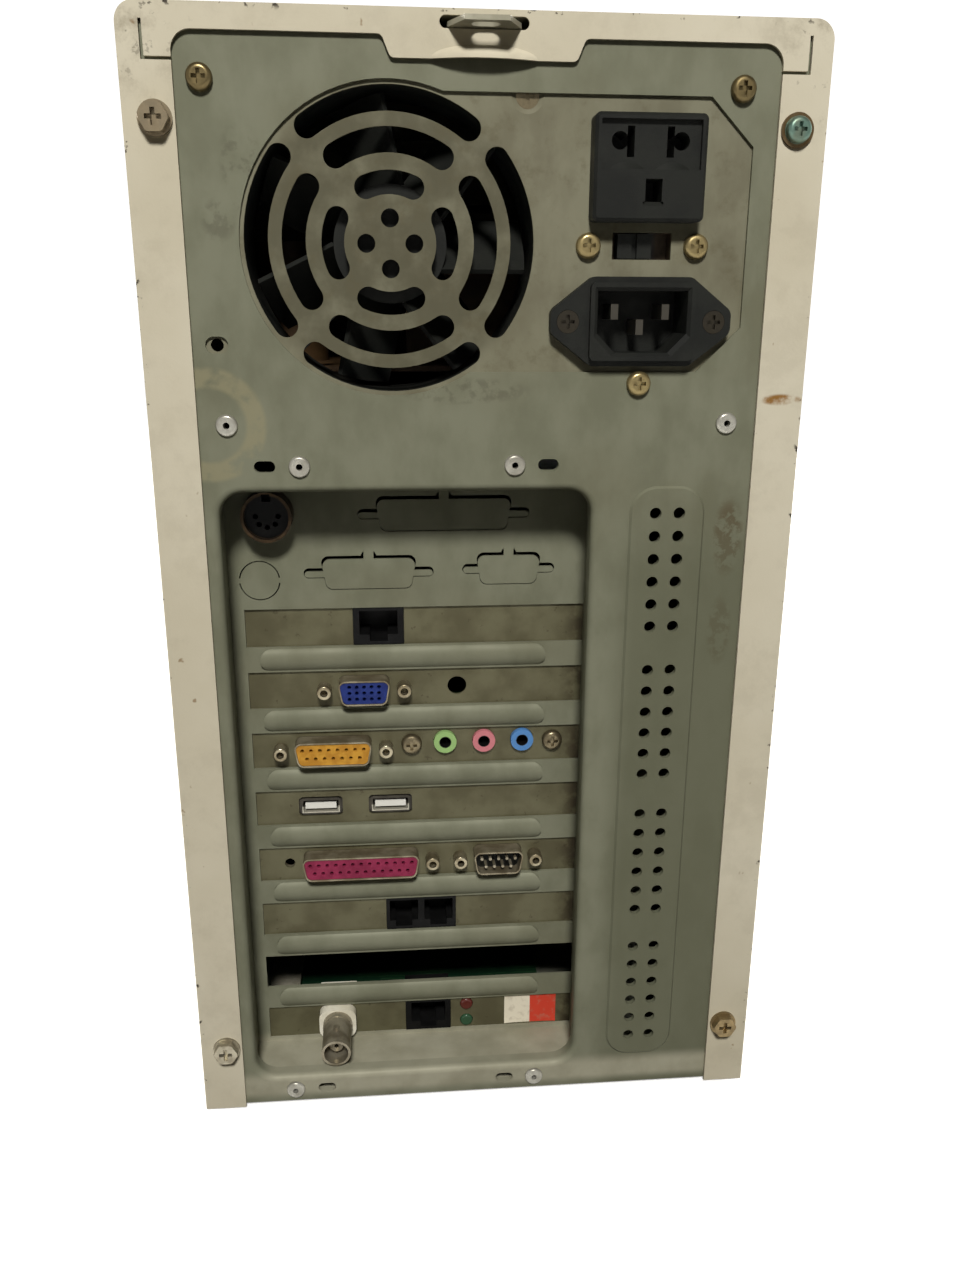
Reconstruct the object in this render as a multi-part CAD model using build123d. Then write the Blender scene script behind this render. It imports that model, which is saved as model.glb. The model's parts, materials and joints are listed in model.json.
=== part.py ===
"""Tower computer of the mid-1990s: folded steel chassis, one-piece painted cover, plastic front.

Millimetres. X runs to the right as seen from behind, Y from the rear panel to the front, Z up from
the table. The rear layout is set out from the power supply's upper left screw hole.
"""
from build123d import *
import os
from math import cos, radians, sin, tan

os.makedirs("parts", exist_ok=True)

# Sheet metal, clearances and fasteners
SHEET = 1.0             # folded steel sheet of the chassis, cover and supply box
RUN_GAP = 0.3           # between pieces that slide or turn past each other
SEAT_GAP = 0.1          # between a fixed piece and the window that it passes through
SHAFT_FIT = 0.08        # between a turning wheel and its pin
SHANK_R = 1.5           # screw shanks
SHANK_L = 6.0
SCREW_HOLE_R = 1.7
HEAD_R = 3.3            # pan heads of the power supply's screws
HEAD_H = 2.2
HEX_R = 3.9             # hexagon heads of the cover's screws, over the corners
HEX_H = 3.2
WASHER_R = 4.3
WASHER_T = 0.8
RIVET_R = 3.0
RIVET_H = 1.1
RIVET_SHANK_R = 1.6
RIVET_BORE_R = 0.9
SUNK_R = 3.0            # countersunk heads of the inlet's and the fan's screws
SUNK_H = 1.6

# Power supply, a standard bay supply
PSU_W = 150.0
PSU_H = 86.0
PSU_D = 140.0
PSU_HOLE_IN = 6.0       # screw holes to the supply's top and sides
PSU_HOLE_SPAN = 138.0   # upper left hole to upper right hole
PSU_LOW_LEFT = 64.0     # drop of the left lower hole
PSU_LOW_RIGHT_X = 114.0
PSU_LOW_RIGHT_Z = 74.0

# Rear face, from the table up and from side to side
FOOT_T = 2.5            # pads under the base
FOOT_W = 22.0
COVER_CLEAR = 1.0       # cover's lower edge above the table
PANEL_CLEAR = 1.5       # rear panel's lower edge above the table
SLOT_COUNT = 8
SLOT_PITCH = 20.32
SLOT_H = 12.2           # window in the slot plate
SLOT_LOW = 16.5         # lowest slot's centre above the table
IO_H = 45.3             # top slot's centre to the recess' upper edge
PSU_RISE = 103.5        # recess' upper edge to the supply's upper screw holes
TOP_MARGIN = 16.5       # supply's upper screw holes to the cover's top
LEFT_MARGIN = 19.25     # cover's left side to the supply's left screw holes
RIGHT_MARGIN = 22.75
RECESS_LEFT = 2.5       # recess' left edge, left of the supply's left screw holes
RECESS_W = 104.8
RECESS_D = 21.0         # slot plate behind the rear panel's face
RECESS_R = 7.0
LIP_D = 5.0             # rolled lip round the recess
LIP_T = 1.2
LIP_ROLL = 2.0
PAN_SIDE = 0.5          # slot pan outside the lip
PAN_RIGHT = 1.5
PAN_FLANGE = 10.0       # pan's flange above the recess
PAN_WING = 3.0          # and beside it
BEAD_L = 89.0           # round-backed ribs between the slots
BEAD_W = 7.0
BEAD_H = 1.3
BEAD_SHIFT = 4.0        # ribs' middle left of the slots' middle
KNOCK_TOP = 1.1         # open gap above a punched port blank
KNOCK_SIDE = 0.3        # and at its sides and foot
KNOCK_EAR_H = 3.2
BRIDGE_W = 3.0          # strip that a blank hangs on
PRINTER_BLANK = (61.2, 113.6)       # blanks' middles from the supply's upper left screw hole
PRINTER_SIZE = (41.8, 10.8, 52.0)   # width, height and width over the ears
GAME_BLANK = (38.2, 131.6)
GAME_SIZE = (29.5, 10.6, 39.5)
SERIAL_BLANK = (81.0, 131.0)
SERIAL_SIZE = (20.5, 10.2, 28.5)
ROUND_BLANK = (5.2, 133.6)
ROUND_BLANK_R = 6.2
ROUND_BLANK_GAP = 0.4
ROUND_BRIDGE = 1.5
SHELF_RIVET_XS = (1.25, 139.75)     # rivets and spare holes from the supply's left screw holes
SHELF_RIVET_DROP = 85.0
TOP_RIVET_XS = (20.25, 80.0)
LOW_RIVET_XS = (10.0, 89.25)
TOP_SPARE_XS = (10.75, 89.5)
LOW_SPARE_XS = (20.25, 79.25)
SPARE_W = 5.8           # spare oval holes
SPARE_H = 3.2
EMPTY_W = 6.0           # unused screw hole of the supply
EMPTY_H = 4.4

# Depth
DRIVE_D = 190.0         # bay drive behind its faceplate
FACEPLATE_T = 4.0
FACE_INSET = 4.5        # drives' faceplates behind the plastic front
DRIVE_ROOM = 54.5       # power supply to the bay drive, for the plugs
BEZEL_T = 24.0
BEZEL_WALL = 2.6
BEZEL_R = 6.0
TONGUE_REACH = 8.0      # lock tongue beyond the cover

# Cover
COVER_R = 5.0           # folded upper corners
SIDE_FLANGE = 12.9
TOP_FLANGE = 6.0
TAB_HALF = 23.5         # middle tab of the upper flange
TAB_DROP = 11.3
TAB_R = 1.6
SLIT_IN = 6.0           # relief slits at the corners, from the cover's sides
SLIT_W = 0.8
SLIT_DROP = 13.0
LIP_HALF = 13.5         # bowed lip on the tab
LIP_BOW = 2.6
LIP_RISE = 3.4
COVER_SCREW_IN = 8.0    # cover's screws from its sides
COVER_SCREW_TOP = 26.1  # upper screws below the cover's top
COVER_SCREW_LOW = 24.0  # lower screws above the table
TONGUE_W = 18.5
TONGUE_TIP_W = 11.0
TONGUE_T = 1.2
TONGUE_DROP = 3.0       # tongue's upper face below the cover's top
TONGUE_HOLE_W = 7.2
TONGUE_HOLE_H = 4.4
TONGUE_HOLE_OUT = 3.6   # hole's middle beyond the cover
TONGUE_LEG = 4.8
TONGUE_SLOT_W = 22.5    # slot that the cover slides over the tongue with
TONGUE_SLOT_H = 3.0

# Fan and the supply's sockets, from the supply's upper left screw hole
FAN_X = 46.4
FAN_DROP = 38.2
FAN_W = 80.0
FAN_T = 25.0
FAN_BORE_R = 38.0
FAN_HUB_R = 15.0
FAN_TIP_R = 36.6
FAN_BLADES = 7
FAN_PIN_R = 1.6
FAN_HOLE = 35.75        # corner holes from the fan's middle
FAN_PIN_L = 10.0
BLADE_T = 1.4
DIMPLE_R = 4.2          # dimple round the fan's screw
DIMPLE_D = 0.45
GRILLE_RINGS = ((34.8, 6.2, 36.5), (25.1, 6.2, 33.0), (15.0, 5.9, 24.0))  # radius, width, half angle
GRILLE_HOLE_R = 2.35
GRILLE_HOLE_PITCH_R = 6.3
CUTOUT_FAN_R = 39.0
CUTOUT_TOP = 1.8        # panel's opening round the supply's sockets
CUTOUT_LOW = 71.0
CUTOUT_RIGHT = 141.9
CUTOUT_CUT = 11.8
SOCKET_X = 113.5
INLET_DROP = 57.7
INLET_HALF_W = 24.7
INLET_HALF_H = 11.6
INLET_EDGE_HALF = 13.5
INLET_FLANGE_T = 3.5
INLET_RIM_T = 2.0
INLET_CAVITY_W = 24.5
INLET_CAVITY_H = 16.0
INLET_CHAMFER = 5.0
INLET_CAVITY_D = 15.0
INLET_BEVEL = 0.9       # sloped edge of the mouth
INLET_WALL = 1.5
INLET_SCREW_HALF = 20.0
PIN_SPREAD = 7.0
PIN_RISE = 2.6
PIN_EARTH_DROP = 1.4
PIN_W = 2.0
PIN_H = 4.0
PIN_L = 11.0
OUTLET_DROP = 19.5
OUTLET_W = 29.4
OUTLET_H = 26.0
OUTLET_PROUD = 6.5
OUTLET_BODY_D = 16.0
OUTLET_HOLE_D = 10.0
OUTLET_R = 1.5
OUTLET_EDGE = 0.8
OUTLET_RIM = 1.6        # rim round the sunk upper half
OUTLET_STEP = 1.4       # depth of the sunk half
OUTLET_STEP_LOW = 0.5   # its lower edge below the outlet's middle
RAMP_X = 6.0            # two rounded ramps up from the sunk half
RAMP_DROP = 5.6
RAMP_FOOT_R = 7.0
RAMP_TOP_R = 5.1
ROUND_X = 8.0           # openings for round pins, blades and the earth pin
ROUND_Z = 6.4
ROUND_R = 2.2
BLADE_X = 5.2
BLADE_Z = 6.2
BLADE_W = 1.9
BLADE_H = 7.4
EARTH_X = 1.0
EARTH_DROP = 5.45
EARTH_W = 4.4
EARTH_H = 5.5
EARTH_RAMP = 1.0
SLIT_COUNT = 6          # air slits in the supply's inner end
SLIT_PITCH = 8.0
SLIT_H = 3.0
TRANSFORMER_W = 38.0    # what stands on the supply's board
TRANSFORMER_D = 34.0
TRANSFORMER_H = 34.0
COOLER_T = 3.0
COOLER_L = 80.0
COOLER_H = 52.0
COOLER_GAP = 15.0
CAN_R = 11.0
CAN_H = 36.0
CAN_PITCH = 32.0
SELECTOR_DROP = 38.3
SELECTOR_W = 16.0
SELECTOR_H = 6.8
SELECTOR_BODY_D = 9.0
SELECTOR_WALL = 2.5
SELECTOR_SCREW_HALF = 14.6
SLIDER_W = 9.2
SLIDER_D = 4.0
SLIDER_REST = 1.6       # slider from its left stop
TIP_GROOVE_W = 1.4      # slider's groove for a screwdriver's tip
TIP_GROOVE_D = 1.2

# Vent field of the rear panel
VENT_COLUMNS = (120.8, 127.7)
VENT_FIRST = 110.4
VENT_PITCH = 6.775
VENT_ROWS = 6
VENT_GROUPS = 4
VENT_GROUP_PITCH = 47.5
VENT_R = 1.7
EMBOSS_W = 22.0
EMBOSS_OVER = 7.8       # embossed field beyond the first and last vents
EMBOSS_T = 0.7
EMBOSS_R = 8.0

# Motherboard and cards
BOARD_T = 1.6
BOARD_D = 230.0
BOARD_H = 203.0
BOARD_LOW = 4.5         # least height of the board's lower edge above the table
BOARD_OVER = 3.46       # board's upper edge above the recess' upper edge
BOARD_BEHIND = 3.5      # board's rear edge behind the slot plate's face
STANDOFF_L = 6.5
STANDOFF_R = 3.0
KEY_X = 8.9             # keyboard socket
KEY_DROP = 113.0
KEY_RISE = 11.5         # its centre above the board
KEY_R = 7.4
KEY_RIM = 0.9
KEY_PROUD = 7.5
KEY_FACE_IN = 2.5       # its face behind the rim
KEY_PIN_RING = 3.3
KEY_PIN_R = 0.8
KEY_NOTCH = 2.6
KEY_BODY_W = 19.0
KEY_BODY_D = 15.0
CARD_T = 1.6
CARD_DROP = 7.0         # card's middle below its slot's centre
CARD_RIGHT = 97.5       # card's far edge
CARD_FINGER_Y = 3.0     # card's finger inside the ends of its socket
SOCKET_H = 11.0         # card sockets on the board
SOCKET_W = 8.5
SOCKET_L = 105.0
SOCKET_Y = 26.0         # socket behind the slot plate
GROOVE_W = 2.2
GROOVE_D = 8.0
BRACKET_T = 0.9
BRACKET_W = 18.4
BRACKET_LEFT = 5.0      # bracket's end left of the supply's screw holes
TAB_D = 12.0            # folded screw tab
BRACKET_SCREW_L = 1.9

# Ports: places from the supply's left screw holes
DSUB_H = 8.2
DSUB_SLOPE = 10.0
DSUB_R = 2.2
DSUB_WALL = 0.5
DSUB_PROUD = 5.8
DSUB_FLANGE_H = 12.4
DSUB_FLANGE_T = 1.0
DSUB_CAN_D = 9.0
DSUB_CAN_OVER = 1.0     # port's body wider and taller than its shell
DSUB_RECESS = 4.6       # depth of the male port's face
DSUB_INSET = 0.4        # depth of the female ports' faces
POST_R = 2.3            # round posts
POST_L = 5.0
POST_EDGE = 0.5
POST_BORE_R = 1.2
VIDEO_X = 35.8
VIDEO_W = 16.6
VIDEO_POST = 12.5
GAME_X = 25.5
GAME_W = 24.9
GAME_POST = 16.65
PARALLEL_X = 33.2
PARALLEL_W = 38.6
PARALLEL_POST = 23.5
SERIAL_X = 78.5
SERIAL_W = 16.9
SERIAL_POST = 12.5
PIN_HOLE_R = 0.6
PORT_PIN_R = 0.5
PORT_PITCH = 2.76
PORT_ROW = 2.84
VIDEO_PITCH = 2.29
VIDEO_ROW = 1.98
PIN_HOLE_D = 3.0
JACK_XS = (61.2, 73.7, 86.1)
JACK_RISE = 1.4         # audio jacks above their slot's centre
JACK_R = 3.65
JACK_BORE_R = 1.8
JACK_PROUD = 1.6
JACK_BODY_W = 9.6
JACK_BODY_D = 12.0
CABLE_JACK_W = 15.6     # network jacks
CABLE_JACK_H = 11.9
CABLE_JACK_D = 15.0
CABLE_MOUTH_W = 11.8
CABLE_MOUTH_H = 7.6
CABLE_MOUTH_D = 11.0
LATCH_W = 5.6
LATCH_H = 2.2
NETWORK_UPPER_X = 40.7
NETWORK_LOWER_X = 54.8
NETWORK_XS = {1: NETWORK_UPPER_X, 8: NETWORK_LOWER_X}
PHONE_X = 52.8
PHONE_W = 23.4
PHONE_MOUTH_W = 9.6
USB_XS = (20.6, 43.2)
USB_W = 13.2
USB_H = 5.8
USB_WALL = 0.9
USB_R = 1.2
USB_GAP = 0.45          # open gap round the shell in its bracket
USB_D = 13.0
USB_TONGUE_W = 10.0
USB_TONGUE_H = 2.0
USB_FLANGE = 1.6
USB_FLANGE_T = 1.0
COAX_X = 23.4
COAX_BASE_W = 12.6
COAX_BASE_H = 11.4
COAX_BASE_R = 3.6
COAX_BASE_PROUD = 3.5
COAX_BASE_D = 12.0
COAX_R = 4.8
COAX_BORE_R = 4.0
COAX_BORE_D = 9.0
COAX_L = 15.5           # barrel beyond its base
COAX_LUG_R = 1.0
COAX_LUG_OUT = 1.0      # lugs beyond the barrel
COAX_LUG_IN = 6.8       # lugs behind the barrel's mouth
COAX_CORE_R = 2.2
COAX_CORE_IN = 4.0      # insulator behind the barrel's mouth
COAX_COLLAR = 0.2
COAX_COLLAR_L = 2.5
LIGHT_X = 68.2
LIGHT_R = 2.2
LIGHT_RISE = 3.3        # the two lamps above and below the slot's centre
LIGHT_PROUD = 0.8
LIGHT_BODY_D = 8.0
CARD_SCREW_XS = (50.4, 96.0)
CARD_SCREW_RISE = 0.9
SPARE_PORT_X = 65.1     # empty hole beside the video port
SPARE_PORT_R = 3.0
NETWORK_CARD_L = 120.0
VIDEO_CARD_L = 150.0
SOUND_CARD_L = 165.0
PHONE_CARD_L = 140.0
COAX_CARD_L = 150.0
CARD_LENGTHS = {1: NETWORK_CARD_L, 2: VIDEO_CARD_L, 3: SOUND_CARD_L, 6: PHONE_CARD_L, 8: COAX_CARD_L}

# Front and drives
BAY_W = 146.0           # bay drive
BAY_SIDE = 13.0         # least room between a bay and the cover's side
BAY_H = 41.3
BAY_PITCH = 42.5
BAY_TOP = 12.0          # upper bay below the cover's top
BAY_FACE_LAP = 1.0      # faceplate beyond its drive at either side
BAY_FACE_H = 42.0
DISK_W = 101.6          # small drives
DISK_H = 25.4
DISK_PITCH = 28.0
DISK_D = 146.0
DISK_BELOW = 7.0        # small drives below the lower bay
DISK_SIDE = 0.6         # small drives inside the bay drives' right side
CAGE_D = 150.0
CLIP_IN = 4.0           # bay cover's clips behind the steel front
LID_H = 2.0             # hard disk's raised lid
LID_SIDE = 4.0
LID_END = 6.0
DISK_CORNER_R = 3.0
THUMB_R = 24.0          # finger recess of the floppy drive
THUMB_OUT = 20.0
TRAY_SIDE = 9.0         # drive's body beside its tray
TRAY_LAP = 2.0          # tray's front beyond the tray
TRAY_H = 13.0
TRAY_L = 160.0
TRAY_RISE = 5.0         # tray's middle above the drive's middle
TRAY_FRONT_T = 3.0
DISC_R = 60.5
DISC_D = 3.0
DISC_HOLE_R = 18.0
EJECT_W = 12.0
EJECT_H = 4.0
EJECT_SIDE = 22.0       # eject button's middle from the faceplate's end
EJECT_DROP = 12.0
EJECT_L = 6.0
EJECT_PROUD = 1.5
EJECT_TRAVEL = 1.2
SLOT_MOUTH_W = 92.0     # floppy drive
SLOT_MOUTH_H = 4.8
SLOT_MOUTH_D = 95.0
SLOT_RISE = 4.0
RELEASE_W = 18.0
RELEASE_H = 7.0
RELEASE_X = 33.0
RELEASE_DROP = 6.5
RELEASE_L = 9.0
RELEASE_PROUD = 4.0
RELEASE_TRAVEL = 3.5
POWER_R = 10.0
STEM_IN = 2.0           # power button's stem inside its switch
POWER_X = 40.0
POWER_Z = 128.0
POWER_TRAVEL = 3.0
POWER_STEM_R = 3.0
SWITCH_W = 15.0
SWITCH_D = 12.0
RESET_R = 4.0
RESET_X = 0.0
SLEEVE_T = 1.5
SLEEVE_L = 8.0
LAMP_R = 2.5
LAMP_XS = (-34.0, -22.0)
LAMP_L = 6.0
LOUVRE_COUNT = 7
LOUVRE_PITCH = 9.0
LOUVRE_W = 110.0
LOUVRE_H = 4.0
LOUVRE_LOW = 24.0

# Worked-out limits
HALF_W = max((LEFT_MARGIN + PSU_HOLE_SPAN + RIGHT_MARGIN) / 2, BAY_W / 2 + BAY_SIDE)
CHASSIS_HALF = HALF_W - SHEET - RUN_GAP
COVER_SCREW_X = HALF_W - COVER_SCREW_IN
SLIT_X = HALF_W - SLIT_IN
PSU_X = -HALF_W + LEFT_MARGIN
SLOT_TOP = SLOT_LOW + (SLOT_COUNT - 1) * SLOT_PITCH
RECESS_TOP = max(SLOT_TOP + IO_H, BOARD_LOW + BOARD_H - BOARD_OVER)
PSU_Z = RECESS_TOP + PSU_RISE
CASE_TOP = PSU_Z + TOP_MARGIN
CASE_D = SHEET + PSU_D + DRIVE_ROOM + DRIVE_D + FACEPLATE_T + FACE_INSET - BEZEL_T
BACK = -(CASE_D + BEZEL_T - RUN_GAP - SHEET - TONGUE_REACH) / 2  # rear panel's outer face
INSIDE = BACK + SHEET                                             # rear panel's inner face
COVER_BACK = BACK - RUN_GAP - SHEET
FRONT = BACK + CASE_D                                             # steel front's outer face
FACE = FRONT + BEZEL_T                                            # plastic front's outer face
BASE_TOP = FOOT_T + SHEET
BOARD_UPPER = RECESS_TOP + BOARD_OVER   # board's upper and lower edges
BOARD_LOWER = BOARD_UPPER - BOARD_H
TONGUE_TOP = CASE_TOP - TONGUE_DROP
PANEL_TOP = TONGUE_TOP - TONGUE_T
RECESS_L = PSU_X - RECESS_LEFT
RECESS_R_X = RECESS_L + RECESS_W
RECESS_LOW = SLOT_LOW - SLOT_H / 2 + SEAT_GAP + PAN_SIDE
PAN_L = RECESS_L - LIP_T - PAN_SIDE
PAN_R = RECESS_R_X + LIP_T + PAN_RIGHT
PAN_LOW = RECESS_LOW - LIP_T - PAN_SIDE
PAN_TOP = RECESS_TOP + LIP_T + PAN_SIDE
FLOOR = BACK + RECESS_D                 # slot plate's face
BRACKET_Y = FLOOR + SHEET               # brackets' face
CARD_Y = BRACKET_Y + BRACKET_T + RUN_GAP
BOARD_TOP_X = PSU_X + KEY_X - KEY_RISE  # board's component side
TRAY_X = BOARD_TOP_X - BOARD_T - STANDOFF_L
PSU_L = PSU_X - PSU_HOLE_IN
PSU_TOP = PSU_Z + PSU_HOLE_IN
PSU_R = PSU_L + PSU_W
PSU_LOW = PSU_TOP - PSU_H
FAN = (PSU_X + FAN_X, PSU_Z - FAN_DROP)
INLET = (PSU_X + SOCKET_X, PSU_Z - INLET_DROP)
OUTLET = (PSU_X + SOCKET_X, PSU_Z - OUTLET_DROP)
SELECTOR = (PSU_X + SOCKET_X, PSU_Z - SELECTOR_DROP)
BAY_ZS = tuple(CASE_TOP - BAY_TOP - BAY_H / 2 - k * BAY_PITCH for k in range(2))
BAY_FACE_W = BAY_W + 2 * BAY_FACE_LAP
TRAY_W = BAY_W - 2 * TRAY_SIDE
EJECT_X = BAY_FACE_W / 2 - EJECT_SIDE
DISK_X = BAY_W / 2 - DISK_SIDE - DISK_W / 2
DISK_TOP = BAY_ZS[1] - BAY_H / 2 - DISK_BELOW
DISK_ZS = tuple(DISK_TOP - DISK_H / 2 - k * DISK_PITCH for k in range(2))
FACEPLATE_BACK = FACE - FACE_INSET - FACEPLATE_T


def write(name, *shapes):
    """Writes one named piece, or a group of like pieces, as its separate solids."""
    solids = [solid for shape in shapes for solid in shape.solids()]
    export_step(solids[0] if len(solids) == 1 else Compound(children=solids), f"parts/{name}.step")


def block(x, y, z):
    """Box between a low and a high limit on each axis."""
    middle = Pos((x[0] + x[1]) / 2, (y[0] + y[1]) / 2, (z[0] + z[1]) / 2)
    return middle * Box(x[1] - x[0], y[1] - y[0], z[1] - z[0])


def poly(*points):
    """Polygon through corners that are given in order, either way round."""
    area = sum(a[0] * b[1] - b[0] * a[1] for a, b in zip(points, points[1:] + points[:1]))
    return Polygon(*(points if area > 0 else points[::-1]), align=None)


def upright(outline, near, far):
    """Outline drawn in X and Z, given depth from near to far along Y."""
    plane = Plane(origin=(0, far, 0), x_dir=(1, 0, 0), z_dir=(0, -1, 0))
    return extrude(plane * outline, amount=far - near)


def funnel(wide, narrow, near, far):
    """Space that narrows from one outline at near to another at far."""
    planes = [Plane(origin=(0, y, 0), x_dir=(1, 0, 0), z_dir=(0, -1, 0)) for y in (near, far)]
    return loft([planes[0] * wide, planes[1] * narrow], ruled=True)


def sideways(outline, low, high):
    """Outline drawn in Y and Z, given width from low to high along X."""
    return extrude(Plane.YZ.offset(low) * outline, amount=high - low)


def flat(outline, low, high):
    """Outline drawn in X and Y, given height from low to high along Z."""
    return extrude(Plane.XY.offset(low) * outline, amount=high - low)


def rear(x, drop):
    """Place on the rear face, from the supply's upper left screw hole."""
    return PSU_X + x, PSU_Z - drop


def slot_z(number):
    """Centre height of a card slot, counted from the top."""
    return SLOT_LOW + (SLOT_COUNT - number) * SLOT_PITCH


def grown(pair, by):
    """Limits moved outwards by the same amount."""
    return pair[0] - by, pair[1] + by


def span(middle, width):
    """Limits either side of a middle."""
    return middle - width / 2, middle + width / 2


def cross_screw(length, hexagon=False):
    """Cross-head screw along +Y with the underside of its head at the origin."""
    if hexagon:
        radius, height = HEX_R, HEX_H
        head = upright(RegularPolygon(HEX_R, 6), -HEX_H, -WASHER_T) + upright(Circle(WASHER_R), -WASHER_T, 0)
        head = head & Pos(0, -WASHER_T, 0) * Sphere(HEX_R * 1.12)
    else:
        radius, height = HEAD_R, HEAD_H
        head = upright(Circle(HEAD_R), -HEAD_H, 0)
        head = fillet(head.edges().group_by(Axis.Y)[0], HEAD_H * 0.6)
    slot = Rectangle(radius * 1.05, radius * 0.3) + Rectangle(radius * 0.3, radius * 1.05)
    recess = upright(slot, -height - SHEET, -height * 0.45)
    return head - recess + upright(Circle(SHANK_R), 0, length)


def sunk_seat(height):
    """Conical seat along +Y for a countersunk head whose face is at the origin."""
    cone = Cone(SHANK_R + SEAT_GAP, SUNK_R + SEAT_GAP, height)
    return Pos(0, height / 2, 0) * Rot(90, 0, 0) * cone


def sunk_screw(height, length):
    """Countersunk cross-head screw along +Y with its flat face at the origin."""
    head = Pos(0, height / 2, 0) * Rot(90, 0, 0) * Cone(SHANK_R, SUNK_R, height)
    cross = Rectangle(SUNK_R * 1.2, SUNK_R * 0.3) + Rectangle(SUNK_R * 0.3, SUNK_R * 1.2)
    return head + upright(Circle(SHANK_R), height, length) - upright(cross, 0, height * 0.6)


def screws(places, seat, length, hexagon=False):
    """Screws driven into the rear face at (x, z) places, with their heads on the seat."""
    return [Pos(x, seat, z) * cross_screw(length, hexagon) for x, z in places]


def holes(places, radius, near, far):
    """Round holes through the rear face at (x, z) places."""
    return [upright(Pos(x, z) * Circle(radius), near, far) for x, z in places]


def fan_blades(hub_r, tip_r, depth, pin_l, thick, lean=40.0):
    """Fan wheel along Z: a hub with leaning blades and a blind bore from its lower end."""
    wheel = Cylinder(hub_r, depth)
    reach = tip_r - hub_r + thick
    chord = depth / cos(radians(lean)) - thick
    blade = Pos(hub_r - thick + reach / 2, 0, 0) * Rot(lean, 0, 0) * Box(reach, thick, chord)
    for k in range(FAN_BLADES):
        wheel += Rot(0, 0, 360 * k / FAN_BLADES) * blade
    wheel = wheel & Cylinder(tip_r, depth)
    return wheel - Pos(0, 0, (pin_l - depth) / 2) * Cylinder(FAN_PIN_R + SHAFT_FIT, pin_l)


def fan_body(width, depth, bore_r, hub_r, pin_l, hole, strut):
    """Square fan body along Z: bore, corner holes, struts, motor plate and the wheel's pin."""
    body = Box(width, width, depth) - Cylinder(bore_r, depth)
    for x in (-hole, hole):
        for y in (-hole, hole):
            body -= Pos(x, y, 0) * Cylinder(SCREW_HOLE_R, depth)
    level = Pos(0, 0, -depth / 2 + strut / 2)
    body += level * Cylinder(hub_r, strut)
    for turn in (45, 135):
        body += level * Rot(0, 0, turn) * Box(2 * bore_r + strut, strut, strut)
    return body + Pos(0, 0, strut - depth / 2 + pin_l / 2) * Cylinder(FAN_PIN_R, pin_l)


# Chassis

PSU_HOLES = (rear(0, 0), rear(PSU_HOLE_SPAN, 0), rear(PSU_LOW_RIGHT_X, PSU_LOW_RIGHT_Z))
PSU_EMPTY_HOLE = rear(0, PSU_LOW_LEFT)
COVER_SCREW_ZS = (CASE_TOP - COVER_SCREW_TOP, COVER_SCREW_LOW)
COVER_HOLES = tuple((x, z) for x in (-COVER_SCREW_X, COVER_SCREW_X) for z in COVER_SCREW_ZS)
FLANGE_TOP_Z = (PAN_TOP + PAN_FLANGE / 2 + SHEET / 2)
FLANGE_LOW_Z = (PAN_LOW - SHEET + BASE_TOP + SEAT_GAP) / 2
SHELF_RIVETS = tuple(rear(x, SHELF_RIVET_DROP) for x in SHELF_RIVET_XS)
PAN_RIVETS = tuple([(PSU_X + x, FLANGE_TOP_Z) for x in TOP_RIVET_XS]
                   + [(PSU_X + x, FLANGE_LOW_Z) for x in LOW_RIVET_XS])
SPARE_HOLES = tuple([(PSU_X + x, FLANGE_TOP_Z) for x in TOP_SPARE_XS]
                    + [(PSU_X + x, FLANGE_LOW_Z) for x in LOW_SPARE_XS])
RECESS_OUTLINE = Pos((RECESS_L + RECESS_R_X) / 2, (RECESS_LOW + RECESS_TOP) / 2)
FAN_SCREW = (FAN[0] + FAN_HOLE, FAN[1] + FAN_HOLE)
SPARE_OVAL = SlotOverall(SPARE_W, SPARE_H)


def supply_cutout():
    """Opening of the rear panel round the supply's fan and sockets."""
    right, top, low = CUTOUT_RIGHT, CUTOUT_TOP, CUTOUT_LOW
    corners = [rear(x, drop) for x, drop in (
        (FAN_X, top), (right - CUTOUT_CUT, top), (right, top + CUTOUT_CUT),
        (right, low - CUTOUT_CUT), (right - CUTOUT_CUT, low), (FAN_X, low))]
    return Pos(*FAN) * Circle(CUTOUT_FAN_R) + poly(*corners)


def vents():
    """Round vents in two columns of grouped rows."""
    places = []
    for group in range(VENT_GROUPS):
        for row in range(VENT_ROWS):
            drop = VENT_FIRST + group * VENT_GROUP_PITCH + row * VENT_PITCH
            places += [rear(x, drop) for x in VENT_COLUMNS]
    return places


def emboss():
    """Raised field round the vents."""
    last = VENT_FIRST + (VENT_GROUPS - 1) * VENT_GROUP_PITCH + (VENT_ROWS - 1) * VENT_PITCH
    x, z = rear(sum(VENT_COLUMNS) / 2, (VENT_FIRST + last) / 2)
    height = last - VENT_FIRST + 2 * EMBOSS_OVER
    field = upright(Pos(x, z) * RectangleRounded(EMBOSS_W, height, EMBOSS_R), BACK - EMBOSS_T, BACK)
    return chamfer(field.faces().sort_by(Axis.Y)[0].edges(), EMBOSS_T * 0.9)


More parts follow.
